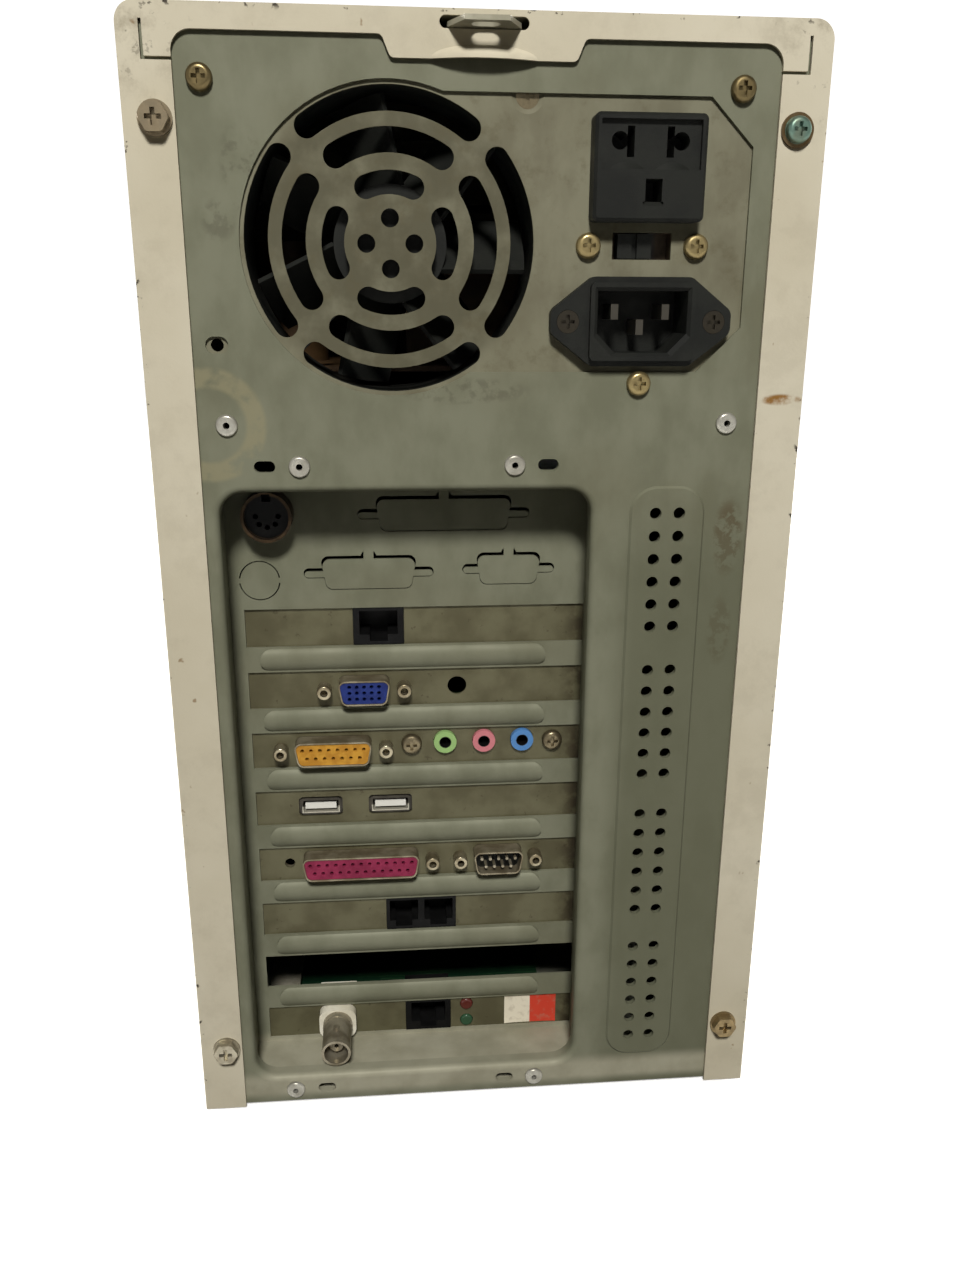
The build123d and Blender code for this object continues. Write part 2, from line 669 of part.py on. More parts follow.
def rear_panel():
    middle = (PANEL_CLEAR + PANEL_TOP) / 2
    sheet = Pos(0, middle) * Rectangle(2 * CHASSIS_HALF, PANEL_TOP - PANEL_CLEAR)
    height = RECESS_TOP - RECESS_LOW
    lip = RECESS_OUTLINE * RectangleRounded(RECESS_W + 2 * LIP_T, height + 2 * LIP_T, RECESS_R + LIP_T)
    mouth = RECESS_OUTLINE * RectangleRounded(RECESS_W, height, RECESS_R)
    panel = upright(sheet, BACK, INSIDE) + upright(lip, BACK, BACK + LIP_D)
    panel -= upright(mouth, BACK, BACK + LIP_D)
    rim = [e for e in panel.edges()
           if abs(e.center().Y - BACK) < SEAT_GAP and e.bounding_box().size.Y < SEAT_GAP
           and RECESS_L - SEAT_GAP < e.center().X < RECESS_R_X + SEAT_GAP
           and RECESS_LOW - SEAT_GAP < e.center().Z < RECESS_TOP + SEAT_GAP]
    panel = fillet(rim, LIP_ROLL) + emboss()
    panel -= upright(supply_cutout(), BACK, INSIDE)
    panel -= holes(vents(), VENT_R, BACK - EMBOSS_T, INSIDE)
    panel -= holes(PSU_HOLES + COVER_HOLES, SCREW_HOLE_R, BACK, INSIDE)
    panel -= holes(SHELF_RIVETS + PAN_RIVETS, RIVET_SHANK_R + SEAT_GAP, BACK, INSIDE)
    panel -= [upright(Pos(*place) * SPARE_OVAL, BACK, INSIDE) for place in SPARE_HOLES]
    return panel - upright(Pos(*PSU_EMPTY_HOLE) * SlotOverall(EMPTY_W, EMPTY_H), BACK, INSIDE)


def d_outline(width, height, slope=DSUB_SLOPE, radius=DSUB_R):
    """D-shaped port outline, wide at the top."""
    lean = height * tan(radians(slope))
    corners = ((-width / 2, height / 2), (width / 2, height / 2),
               (width / 2 - lean, -height / 2), (-width / 2 + lean, -height / 2))
    shape = poly(*corners)
    return fillet(shape.vertices(), radius)


def knockout(width, height, ears):
    """Punched port blank: the gap round a plate that has sunk a little on its bridge."""
    outer = d_outline(width, height) + SlotOverall(ears, KNOCK_EAR_H)
    outer += Pos(0, height / 2 - KNOCK_TOP / 2) * Circle(BRIDGE_W * 0.8)
    less = KNOCK_TOP + KNOCK_SIDE
    plate = d_outline(width - 2 * KNOCK_SIDE, height - less)
    plate += SlotOverall(ears - 2 * KNOCK_SIDE, KNOCK_EAR_H - less)
    bridge = Pos(0, height / 2) * Rectangle(BRIDGE_W, 4 * KNOCK_TOP)
    return outer - Pos(0, (KNOCK_SIDE - KNOCK_TOP) / 2) * plate - bridge


def rib(x, z):
    """Round-backed rib pressed into the slot plate: a flat cylinder inside a slot's outline."""
    radius = (BEAD_W**2 / 4 + BEAD_H**2) / (2 * BEAD_H)
    back = sideways(Pos(FLOOR + radius - BEAD_H, z) * Circle(radius), x - BEAD_L / 2, x + BEAD_L / 2)
    return back & upright(Pos(x, z) * SlotOverall(BEAD_L, BEAD_W), FLOOR - BEAD_H, FLOOR)


def key_place():
    return rear(KEY_X, KEY_DROP)


def slot_plate():
    outer = (grown((PAN_L, PAN_R), SHEET), grown((PAN_LOW, PAN_TOP), SHEET))
    pan = block(outer[0], (INSIDE, FLOOR + SHEET), outer[1])
    pan -= block((PAN_L, PAN_R), (INSIDE, FLOOR), (PAN_LOW, PAN_TOP))
    flange = block(grown((PAN_L, PAN_R), SHEET + PAN_WING), (INSIDE, INSIDE + SHEET),
                   (BASE_TOP + SEAT_GAP, PAN_TOP + SHEET + PAN_FLANGE))
    pan += flange - block((PAN_L, PAN_R), (INSIDE, FLOOR), (PAN_LOW, PAN_TOP))
    window_l, window_r = PSU_X, PAN_R
    for number in range(1, SLOT_COUNT + 1):
        z = slot_z(number)
        pan -= block((window_l, window_r), (FLOOR, FLOOR + SHEET), span(z, SLOT_H))
        if number < SLOT_COUNT:
            pan += rib((window_l + window_r) / 2 - BEAD_SHIFT, z - SLOT_PITCH / 2)
        pan -= sideways(Pos(BRACKET_Y - SHEET - TAB_D / 2, z) * Circle(SCREW_HOLE_R), PAN_R, PAN_R + SHEET)
    cut = [Pos(*rear(*place)) * knockout(*size) for place, size in (
        (PRINTER_BLANK, PRINTER_SIZE), (GAME_BLANK, GAME_SIZE), (SERIAL_BLANK, SERIAL_SIZE))]
    ring = Circle(ROUND_BLANK_R) - Circle(ROUND_BLANK_R - ROUND_BLANK_GAP)
    cut.append(Pos(*rear(*ROUND_BLANK)) * (ring - Rectangle(3 * ROUND_BLANK_R, ROUND_BRIDGE)))
    pan -= [upright(shape, FLOOR, FLOOR + SHEET) for shape in cut]
    x, z = key_place()
    pan -= upright(Pos(x, z) * Circle(KEY_R + SEAT_GAP), FLOOR, FLOOR + SHEET)
    pan -= holes(PAN_RIVETS, RIVET_SHANK_R + SEAT_GAP, INSIDE, INSIDE + SHEET)
    return pan - [upright(Pos(*place) * SPARE_OVAL, INSIDE, INSIDE + SHEET) for place in SPARE_HOLES]


def lock_tongue():
    """Padlock tongue: a leg behind the rear panel and a pierced blade out through the cover."""
    blade = poly((-TONGUE_W / 2, INSIDE + TONGUE_T), (TONGUE_W / 2, INSIDE + TONGUE_T),
                    (TONGUE_W / 2, COVER_BACK), (TONGUE_TIP_W / 2, COVER_BACK - TONGUE_REACH),
                    (-TONGUE_TIP_W / 2, COVER_BACK - TONGUE_REACH), (-TONGUE_W / 2, COVER_BACK))
    hole = Pos(0, COVER_BACK - TONGUE_HOLE_OUT) * SlotOverall(TONGUE_HOLE_W, TONGUE_HOLE_H)
    tongue = flat(blade - hole, PANEL_TOP, TONGUE_TOP)
    leg = (PANEL_TOP - TONGUE_LEG, PANEL_TOP)
    return tongue + block(span(0, TONGUE_W), (INSIDE, INSIDE + TONGUE_T), leg)


def base_pan():
    pan = block((-CHASSIS_HALF, CHASSIS_HALF), (INSIDE, FRONT), (FOOT_T, BASE_TOP))
    for x in ((-CHASSIS_HALF, -CHASSIS_HALF + SHEET), (CHASSIS_HALF - SHEET, CHASSIS_HALF)):
        pan += block(x, (INSIDE, FRONT), (FOOT_T, BASE_TOP + PAN_FLANGE))
    return pan


def feet():
    inset = FOOT_W
    ys = (INSIDE + inset, FRONT - inset)
    return [flat(Pos(x, y) * RectangleRounded(FOOT_W, FOOT_W, FOOT_W / 5), 0, FOOT_T)
            for x in (-HALF_W + inset, HALF_W - inset) for y in ys]


def rivets(places):
    """Blind rivets with hollow domed heads."""
    group = []
    for x, z in places:
        head = upright(Circle(RIVET_R), -RIVET_H, 0)
        head = fillet(head.edges().group_by(Axis.Y)[0], RIVET_H * 0.8)
        shank = upright(Circle(RIVET_SHANK_R), 0, 2 * SHEET)
        bore = upright(Circle(RIVET_BORE_R), -RIVET_H, 2 * SHEET)
        group.append(Pos(x, BACK, z) * (head + shank - bore))
    return group


def top_rails():
    """Angle rails from the rear panel to the steel front, along both upper edges."""
    leg = CHASSIS_HALF - PSU_W / 2 - 2 * SHEET
    group = []
    for side in (-1, 1):
        edge = sorted((side * CHASSIS_HALF, side * (CHASSIS_HALF - SHEET)))
        shelf = sorted((side * CHASSIS_HALF, side * (CHASSIS_HALF - leg)))
        rail = block(edge, (INSIDE, FRONT - SHEET), (PANEL_TOP - leg, PANEL_TOP))
        group.append(rail + block(shelf, (INSIDE, FRONT - SHEET), (PANEL_TOP - SHEET, PANEL_TOP)))
    return group


def board_tray():
    """Upright plate that carries the motherboard."""
    top = BOARD_UPPER + 2 * STANDOFF_L
    return block((TRAY_X - SHEET, TRAY_X), (FLOOR, FRONT - SHEET), (BASE_TOP, top))


def front_plate():
    plate = block(span(0, 2 * (CHASSIS_HALF - SHEET)), (FRONT - SHEET, FRONT), (BASE_TOP, PANEL_TOP))
    through = (FRONT - SHEET, FRONT)
    bays = (BAY_ZS[1] - BAY_H / 2 - RUN_GAP, BAY_ZS[0] + BAY_H / 2 + RUN_GAP)
    plate -= block(span(0, BAY_W + 2 * RUN_GAP), through, bays)
    plate -= block(span(DISK_X, DISK_W + 2 * RUN_GAP), through, span(DISK_ZS[0], DISK_H + 2 * RUN_GAP))
    low = LOUVRE_LOW + LOUVRE_PITCH
    for k in range(LOUVRE_COUNT - 2):
        plate -= block(span(0, LOUVRE_W / 2), through, span(low + k * LOUVRE_PITCH, LOUVRE_H))
    return plate


def drive_cage():
    """Walls and shelf that hold the bay drives and, below them, the small drives."""
    half = BAY_W / 2 + RUN_GAP
    depth = (FRONT - SHEET - CAGE_D, FRONT - SHEET)
    shelf_top = BAY_ZS[1] - BAY_H / 2 - RUN_GAP
    top = BAY_ZS[0] + BAY_H / 2
    cage = block(span(0, 2 * (half + SHEET)), depth, (shelf_top - SHEET, shelf_top))
    for x in ((-half - SHEET, -half), (half, half + SHEET)):
        cage += block(x, depth, (shelf_top - SHEET, top))
    low = DISK_ZS[1] - DISK_H / 2 - RUN_GAP - SHEET
    left, right = grown(span(DISK_X, DISK_W), RUN_GAP)
    for x in ((left - SHEET, left), (right, right + SHEET)):
        cage += block(x, depth, (low, shelf_top - SHEET))
    for z in DISK_ZS:
        shelf = z - DISK_H / 2 - RUN_GAP
        cage += block((left, right), depth, (shelf - SHEET, shelf))
    return cage


# Cover

def flange_opening():
    """Opening of the cover's rear flanges, with the tab left in its upper edge."""
    top = CASE_TOP - TOP_FLANGE
    half = HALF_W - SIDE_FLANGE
    opening = Pos(0, top / 2 - COVER_R) * RectangleRounded(2 * half, top + 2 * COVER_R, COVER_R)
    low = CASE_TOP - TAB_DROP
    slope = (top - low) / 2
    tab = poly((-TAB_HALF - slope, top + SHEET), (TAB_HALF + slope, top + SHEET),
                  (TAB_HALF, low), (-TAB_HALF, low))
    edge = tab + Pos(0, top + SHEET / 2) * Rectangle(2 * HALF_W, SHEET)
    corners = [v for v in edge.vertices() if abs(v.X) < half and v.Y < top + SEAT_GAP]
    return opening - fillet(corners, TAB_R)


def cover():
    """Wrap-round cover: top, two sides and the flanges that screw to the rear panel."""
    length = (COVER_BACK, FRONT - RUN_GAP)
    height = CASE_TOP - COVER_CLEAR
    middle = Pos(0, COVER_CLEAR + height / 2 - COVER_R)
    outline = middle * RectangleRounded(2 * HALF_W, height + 2 * COVER_R, COVER_R)
    inner = (2 * (HALF_W - SHEET), height + 2 * COVER_R - 2 * SHEET)
    hollow = middle * RectangleRounded(*inner, COVER_R - SHEET)
    shell = upright(outline, *length) - upright(hollow, COVER_BACK + SHEET, length[1])
    shell -= block((-HALF_W, HALF_W), grown(length, SHEET), (-2 * COVER_R, COVER_CLEAR))
    shell -= upright(flange_opening(), COVER_BACK, COVER_BACK + SHEET)
    face = (COVER_BACK, COVER_BACK + SHEET)
    slit_low = CASE_TOP - SLIT_DROP
    for side in (-1, 1):
        foot = sorted((side * (SLIT_X + SLIT_W / 2), side * (HALF_W - SIDE_FLANGE)))
        shell -= block(span(side * SLIT_X, SLIT_W), face, (slit_low, CASE_TOP - COVER_R + SHEET))
        shell -= block(foot, face, (slit_low, slit_low + SLIT_W))
    slot = Pos(0, PANEL_TOP - RUN_GAP + TONGUE_SLOT_H / 2) * SlotOverall(TONGUE_SLOT_W, TONGUE_SLOT_H)
    shell -= upright(slot, *face)
    shell -= holes(COVER_HOLES, SCREW_HOLE_R, *face)
    return shell + lip_dome() - Pos(0, SHEET, 0) * lip_dome()


def cover_screws():
    """Three hexagon screws, and at the upper right a pan head on a loose washer."""
    odd = (COVER_SCREW_X, COVER_SCREW_ZS[0])
    group = screws([place for place in COVER_HOLES if place != odd], COVER_BACK, SHANK_L, hexagon=True)
    washer = upright(Circle(WASHER_R) - Circle(SCREW_HOLE_R), -WASHER_T, 0)
    group.append(Pos(odd[0], COVER_BACK, odd[1]) * washer)
    return group + screws([odd], COVER_BACK - WASHER_T, SHANK_L + WASHER_T)


def lip_dome():
    """Dome by which the tab's foot bows outwards, cut off level with the tab's lower edge."""
    radius = (LIP_HALF**2 + LIP_BOW**2) / (2 * LIP_BOW)
    low = CASE_TOP - TAB_DROP
    ball = scale(Sphere(radius), by=(1, 1, LIP_RISE / LIP_HALF))
    room = block((-LIP_HALF, LIP_HALF), (COVER_BACK - LIP_BOW, COVER_BACK), (low, low + LIP_RISE))
    return Pos(0, COVER_BACK + radius - LIP_BOW, low) * ball & room


# Power supply

def supply_case():
    """Rear, bottom and front of the supply's box, with the fan grille punched in the rear."""
    back = (INSIDE, INSIDE + SHEET)
    front = (INSIDE + PSU_D - SHEET, INSIDE + PSU_D)
    case = block((PSU_L, PSU_R), back, (PSU_LOW, PSU_TOP))
    case += block((PSU_L, PSU_R), (INSIDE, INSIDE + PSU_D), (PSU_LOW, PSU_LOW + SHEET))
    case += block((PSU_L, PSU_R), front, (PSU_LOW, PSU_TOP))
    for radius, width, half in GRILLE_RINGS:
        for turn in range(0, 360, 90):
            arc = CenterArc((0, 0), radius, turn - half, 2 * half)
            case -= upright(Pos(*FAN) * SlotArc(arc, width), *back)
    for turn in range(0, 360, 90):
        spot = Pos(GRILLE_HOLE_PITCH_R * cos(radians(turn)), GRILLE_HOLE_PITCH_R * sin(radians(turn)))
        case -= upright(Pos(*FAN) * spot * Circle(GRILLE_HOLE_R), *back)
    inlet = Rectangle(*(size + 2 * (INLET_WALL + SEAT_GAP) for size in (INLET_CAVITY_W, INLET_CAVITY_H)))
    case -= upright(Pos(*INLET) * inlet, *back)
    case -= upright(Pos(*OUTLET) * Rectangle(OUTLET_W - 2 * INLET_WALL, OUTLET_H - 2 * INLET_WALL), *back)
    case -= upright(Pos(*SELECTOR) * Rectangle(SELECTOR_W, SELECTOR_H), *back)
    case -= holes(PSU_HOLES + (PSU_EMPTY_HOLE,) + SOCKET_SCREWS, SCREW_HOLE_R, *back)
    dimple = Pos(0, DIMPLE_D / 2, 0) * Rot(90, 0, 0) * Cone(SUNK_R + SEAT_GAP, DIMPLE_R, DIMPLE_D)
    seat = Pos(0, DIMPLE_D, 0) * sunk_seat(SHEET - DIMPLE_D)
    case -= [Pos(FAN_SCREW[0], INSIDE, FAN_SCREW[1]) * cut for cut in (dimple, seat)]
    slit = SlotOverall(PSU_W / 4, SLIT_H)
    for k in range(SLIT_COUNT):
        place = Pos((PSU_L + PSU_R) / 2, PSU_LOW + PSU_H / 4 + k * SLIT_PITCH)
        case -= upright(place * slit, *front)
    return case


def supply_lid():
    """Top and sides of the supply's box."""
    inner = (INSIDE + SHEET, INSIDE + PSU_D - SHEET)
    lid = block((PSU_L, PSU_R), inner, (PSU_TOP - SHEET, PSU_TOP))
    for x in ((PSU_L, PSU_L + SHEET), (PSU_R - SHEET, PSU_R)):
        lid += block(x, inner, (PSU_LOW + SHEET, PSU_TOP))
    return lid


def supply_board():
    """Circuit board of the supply with its transformer, capacitors and heat sinks."""
    left, right = grown((PSU_L, PSU_R), -4 * SHEET)
    near, far = INSIDE + 5 * SHEET + FAN_T, INSIDE + PSU_D - 4 * SHEET
    level = PSU_LOW + SHEET + STANDOFF_L
    top = level + BOARD_T
    board = block((left, right), (near, far), (level, top))
    for x in (left + STANDOFF_R, right - STANDOFF_R):
        for y in (near + STANDOFF_R, far - STANDOFF_R):
            board += flat(Pos(x, y) * Circle(STANDOFF_R), PSU_LOW + SHEET, level)
    middle = (near + far) / 2
    core = block(span(0, TRANSFORMER_W), span(middle, TRANSFORMER_D), (top, top + TRANSFORMER_H))
    pieces = [board, core]
    plate = TRANSFORMER_W / 2 + COOLER_GAP
    for x in (-plate - COOLER_T / 2, plate + COOLER_T / 2):
        pieces.append(block(span(x, COOLER_T), span(middle, COOLER_L), (top, top + COOLER_H)))
    can_x = -plate - COOLER_T - COOLER_GAP / 2 - CAN_R
    for y in (middle - CAN_PITCH / 2, middle + CAN_PITCH / 2):
        pieces.append(flat(Pos(can_x, y) * Circle(CAN_R), top, top + CAN_H))
    return pieces


SOCKET_SCREWS = tuple((place[0] + side * half, place[1]) for place, half in (
    (INLET, INLET_SCREW_HALF), (SELECTOR, SELECTOR_SCREW_HALF)) for side in (-1, 1))


def inlet_cavity(extra):
    """Outline of the inlet's mouth, with its lower corners cut off."""
    w, h, cut = INLET_CAVITY_W / 2 + extra, INLET_CAVITY_H / 2 + extra, INLET_CHAMFER
    return poly((-w, h), (w, h), (w, -h + cut), (w - cut, -h), (-w + cut, -h), (-w, -h + cut))


def mains_inlet():
    ear = INLET_HALF_H / 4
    corners = []
    for sx, sz in ((1, 1), (1, -1), (-1, -1), (-1, 1)):
        pair = [(sx * INLET_EDGE_HALF, sz * INLET_HALF_H), (sx * INLET_HALF_W, sz * ear)]
        corners += pair if sx == sz else pair[::-1]
    flange = poly(*corners)
    flange = fillet(flange.vertices(), ear)
    mouth = INSIDE - INLET_FLANGE_T - INLET_RIM_T
    rim = RectangleRounded(2 * INLET_EDGE_HALF + INLET_WALL, 2 * INLET_HALF_H - 2 * INLET_WALL, INLET_WALL)
    body = Rectangle(INLET_CAVITY_W + 2 * INLET_WALL, INLET_CAVITY_H + 2 * INLET_WALL)
    bottom = mouth + INLET_CAVITY_D
    inlet = upright(flange, INSIDE - INLET_FLANGE_T, INSIDE) + upright(rim, mouth, INSIDE - INLET_FLANGE_T)
    inlet += upright(body, INSIDE, bottom + 2 * INLET_WALL)
    inlet -= upright(inlet_cavity(0), mouth, bottom)
    inlet -= funnel(inlet_cavity(INLET_BEVEL), inlet_cavity(0), mouth, mouth + INLET_BEVEL)
    sides = [(-INLET_SCREW_HALF, 0), (INLET_SCREW_HALF, 0)]
    inlet -= holes(sides, SCREW_HOLE_R, INSIDE - INLET_FLANGE_T, INSIDE)
    inlet -= [Pos(x, INSIDE - INLET_FLANGE_T, z) * sunk_seat(SUNK_H) for x, z in sides]
    return Pos(INLET[0], 0, INLET[1]) * inlet


def sunk_screws():
    """Flush screws of the inlet and of the fan's corner."""
    seats = [(x, INSIDE - INLET_FLANGE_T, z, SUNK_H) for x, z in SOCKET_SCREWS[:2]]
    seats.append((FAN_SCREW[0], INSIDE + DIMPLE_D, FAN_SCREW[1], SHEET - DIMPLE_D))
    return [Pos(x, y, z) * sunk_screw(height, SHANK_L) for x, y, z, height in seats]


def inlet_pins():
    bottom = INSIDE - INLET_FLANGE_T - INLET_RIM_T + INLET_CAVITY_D
    places = ((-PIN_SPREAD, PIN_RISE), (PIN_SPREAD, PIN_RISE), (0, -PIN_EARTH_DROP))
    return [upright(Pos(INLET[0] + x, INLET[1] + z) * Rectangle(PIN_W, PIN_H), bottom - PIN_L, bottom)
            for x, z in places]


def mains_outlet():
    """Socket for a monitor lead: blade and pin openings above, the earth opening below."""
    face = INSIDE - OUTLET_PROUD
    outlet = upright(RectangleRounded(OUTLET_W, OUTLET_H, OUTLET_R), face, INSIDE)
    outlet = chamfer(outlet.faces().sort_by(Axis.Y)[0].edges(), OUTLET_EDGE)
    inner = 2 * (INLET_WALL + SEAT_GAP)
    outlet += upright(Rectangle(OUTLET_W - inner, OUTLET_H - inner), INSIDE, INSIDE + OUTLET_BODY_D)
    half = OUTLET_W / 2 - OUTLET_RIM
    sunk = block((-half, half), (face, face + OUTLET_STEP), (-OUTLET_STEP_LOW, OUTLET_H / 2 - OUTLET_RIM))
    ramp = Rot(90, 0, 0) * Cone(RAMP_FOOT_R, RAMP_TOP_R, OUTLET_STEP)
    for side in (-1, 1):
        sunk -= Pos(side * RAMP_X, face + OUTLET_STEP / 2, -RAMP_DROP) * ramp
    outlet -= sunk
    for side in (-1, 1):
        live = Pos(side * ROUND_X, ROUND_Z) * Circle(ROUND_R)
        live += Pos(side * BLADE_X, BLADE_Z) * Rectangle(BLADE_W, BLADE_H)
        outlet -= upright(live, face, face + OUTLET_HOLE_D)
    outlet -= upright(Pos(EARTH_X, -EARTH_DROP) * Rectangle(EARTH_W, EARTH_H), face, face + OUTLET_HOLE_D)
    foot = -EARTH_DROP - EARTH_H / 2
    ramp = poly((face, foot - EARTH_RAMP), (face + EARTH_RAMP, foot), (face, foot))
    outlet -= sideways(ramp, *span(EARTH_X, EARTH_W + EARTH_RAMP))
    return Pos(OUTLET[0], 0, OUTLET[1]) * outlet


SELECTOR_Y = INSIDE + SHEET
SLIDER_Z_GAP = RUN_GAP


def selector_body():
    """Voltage selector: a slide switch behind a window of the supply's rear."""
    depth = (SELECTOR_Y, SELECTOR_Y + SELECTOR_BODY_D)
    body = upright(Rectangle(SELECTOR_W + 2 * SELECTOR_WALL, SELECTOR_H + 2 * SELECTOR_WALL), *depth)
    ears = Rectangle(2 * SELECTOR_SCREW_HALF + 2 * HEAD_R, SELECTOR_H + SELECTOR_WALL)
    body += upright(ears, SELECTOR_Y, SELECTOR_Y + SELECTOR_WALL)
    body -= upright(Rectangle(SELECTOR_W, SELECTOR_H), SELECTOR_Y, SELECTOR_Y + SLIDER_D + RUN_GAP)
    sides = [(-SELECTOR_SCREW_HALF, 0), (SELECTOR_SCREW_HALF, 0)]
    body -= holes(sides, SCREW_HOLE_R, *depth)
    return Pos(SELECTOR[0], 0, SELECTOR[1]) * body


def selector_slider():
    """Sliding button of the voltage selector, with a groove for a screwdriver's tip."""
    left = SELECTOR[0] - SELECTOR_W / 2 + SLIDER_REST
    x, z = (left, left + SLIDER_W), span(SELECTOR[1], SELECTOR_H - 2 * SLIDER_Z_GAP)
    slider = block(x, (SELECTOR_Y, SELECTOR_Y + SLIDER_D), z)
    groove = block(span(sum(x) / 2, TIP_GROOVE_W), (SELECTOR_Y, SELECTOR_Y + TIP_GROOVE_D), z)
    return slider - groove


def turned_fan(shape, x, near, z, depth):
    """Fan piece made along Z, turned so that its open end faces the rear."""
    return Pos(x, near + depth / 2, z) * Rot(90, 0, 0) * shape


FAN_STRUT = 4.0
FAN_WHEEL_T = FAN_T - 2 * FAN_STRUT


def fan_frame():
    shape = fan_body(FAN_W, FAN_T, FAN_BORE_R, FAN_HUB_R, FAN_PIN_L, FAN_HOLE, FAN_STRUT)
    return turned_fan(shape, FAN[0], INSIDE + SHEET, FAN[1], FAN_T)


def fan_rotor():
    wheel = fan_blades(FAN_HUB_R, FAN_TIP_R, FAN_WHEEL_T, FAN_PIN_L, BLADE_T)
    near = INSIDE + SHEET + FAN_T - FAN_STRUT - RUN_GAP - FAN_WHEEL_T
    return turned_fan(wheel, FAN[0], near, FAN[1], FAN_WHEEL_T)


# Motherboard

BOARD_Y = FLOOR + BOARD_BEHIND
BOARD_BACK_X = BOARD_TOP_X - BOARD_T
CPU_W = 50.0
CPU_T = 6.0
CPU_RISE = 77.0         # processor's middle above the board's least height
CPU_PLACE = (BOARD_Y + BOARD_D - CPU_W * 0.8, BOARD_LOW + CPU_RISE)
SINK_BASE = 5.0
SINK_H = 26.0
SINK_FINS = 9
CPU_FAN_T = 12.0
CPU_FAN_HUB_R = 10.0
CPU_FAN_BORE_R = 23.5
CPU_FAN_TIP_R = 22.6
CPU_FAN_HOLE = 20.0
CPU_FAN_PIN_L = 5.0
CPU_FAN_STRUT = 2.0
CPU_BLADE_T = 1.2
MEMORY_L = 108.0
MEMORY_H = 25.0
MEMORY_T = 1.4
MEMORY_SOCKET_W = 7.0
MEMORY_SOCKET_H = 9.0
MEMORY_PITCH = 11.0
MEMORY_SEAT = 6.0
HEADER_W = 9.0
HEADER_H = 9.0
HEADER_L = 54.0
RIBBON_W = 50.8
RIBBON_T = 1.0
PLUG_H = 8.0
FOLD_DROP = 4.3         # cable's fold below the hard disk's plug
CHIP_W = 28.0
CHIP_T = 3.0
CHIP_GAP = 3.25
FIRMWARE_L = 37.0
FIRMWARE_W = 14.0
CARD_CHIP_X = 40.0
CARD_CHIP_W = 22.0
CARD_CHIP_T = 2.4
CPU_SOCKET_Y = 6.0      # processor's socket beyond it
CPU_SOCKET_Z = 2.0
MEMORY_END = 6.0        # memory socket beyond its module at either end
MEMORY_CHIPS = 8
MEMORY_CHIP_L = 10.0
MEMORY_CHIP_T = 1.2


def motherboard():
    return block((BOARD_BACK_X, BOARD_TOP_X), (BOARD_Y, BOARD_Y + BOARD_D), (BOARD_LOWER, BOARD_UPPER))


def board_standoffs():
    inset = 3 * STANDOFF_R
    group = []
    for y in (BOARD_Y + inset, BOARD_Y + BOARD_D / 2, BOARD_Y + BOARD_D - inset):
        for z in (BOARD_LOWER + inset, BOARD_UPPER - inset):
            group.append(sideways(Pos(y, z) * Circle(STANDOFF_R), TRAY_X, BOARD_BACK_X))
    return group


def socket_z(number):
    """Height of the card that stands in a slot."""
    return slot_z(number) - CARD_DROP


SOCKET_YS = (FLOOR + SOCKET_Y, FLOOR + SOCKET_Y + SOCKET_L)
MEMORY_YS = span(BOARD_Y + BOARD_D - MEMORY_L * 0.65, MEMORY_L + 2 * MEMORY_END)
DISK_PLUG_Z = DISK_ZS[1] - DISK_H / 4
HEADER_Z = DISK_PLUG_Z - FOLD_DROP - RIBBON_W / 2
MEMORY_ZS = tuple(HEADER_Z + HEADER_L / 2 + k * MEMORY_PITCH for k in (1, 2))


def edge_socket(y, z, height, width, groove_d, groove_w):
    """Board socket with a groove for a card's edge."""
    shape = block((BOARD_TOP_X, BOARD_TOP_X + height), y, span(z, width))
    top = BOARD_TOP_X + height
    return shape - block((top - groove_d, top), grown(y, -CARD_FINGER_Y), span(z, groove_w))


def board_sockets():
    group = [edge_socket(SOCKET_YS, socket_z(k), SOCKET_H, SOCKET_W, GROOVE_D, GROOVE_W)
             for k in range(1, SLOT_COUNT + 1) if socket_z(k) - SOCKET_W / 2 > BOARD_LOWER]
    for z in MEMORY_ZS:
        group.append(edge_socket(MEMORY_YS, z, MEMORY_SOCKET_H, MEMORY_SOCKET_W, MEMORY_SEAT, GROOVE_W))
    return group


def memory_modules():
    bottom = BOARD_TOP_X + MEMORY_SOCKET_H - MEMORY_SEAT + RUN_GAP
    y = span(sum(MEMORY_YS) / 2, MEMORY_L)
    group = []
    for z in MEMORY_ZS:
        module = block((bottom, bottom + MEMORY_H), y, span(z, MEMORY_T))
        chips = (bottom + MEMORY_H * 0.4, bottom + MEMORY_H * 0.85)
        face = z + MEMORY_T / 2
        for k in range(MEMORY_CHIPS):
            place = y[0] + MEMORY_L * (k + 0.5) / MEMORY_CHIPS
            module += block(chips, span(place, MEMORY_CHIP_L), (face, face + MEMORY_CHIP_T))
        group.append(module)
    return group


def processor():
    y, z = CPU_PLACE
    seat = (span(y, CPU_W + CPU_SOCKET_Y), span(z, CPU_W + CPU_SOCKET_Z))
    chip = block((BOARD_TOP_X, BOARD_TOP_X + CPU_T / 2), *seat)
    return chip + block((BOARD_TOP_X + CPU_T / 2, BOARD_TOP_X + CPU_T), span(y, CPU_W), span(z, CPU_W))


def heat_sink():
    y, z = CPU_PLACE
    low = BOARD_TOP_X + CPU_T
    sink = block((low, low + SINK_BASE), span(y, CPU_W), span(z, CPU_W))
    for k in range(SINK_FINS):
        place = z - CPU_W / 2 + CPU_W * (k + 0.5) / SINK_FINS
        sink += block((low + SINK_BASE, low + SINK_H), span(y, CPU_W), span(place, CPU_W / SINK_FINS / 2.5))
    return sink


CPU_FAN_X = BOARD_TOP_X + CPU_T + SINK_H
CPU_WHEEL_T = CPU_FAN_T - CPU_FAN_STRUT - 5 * RUN_GAP


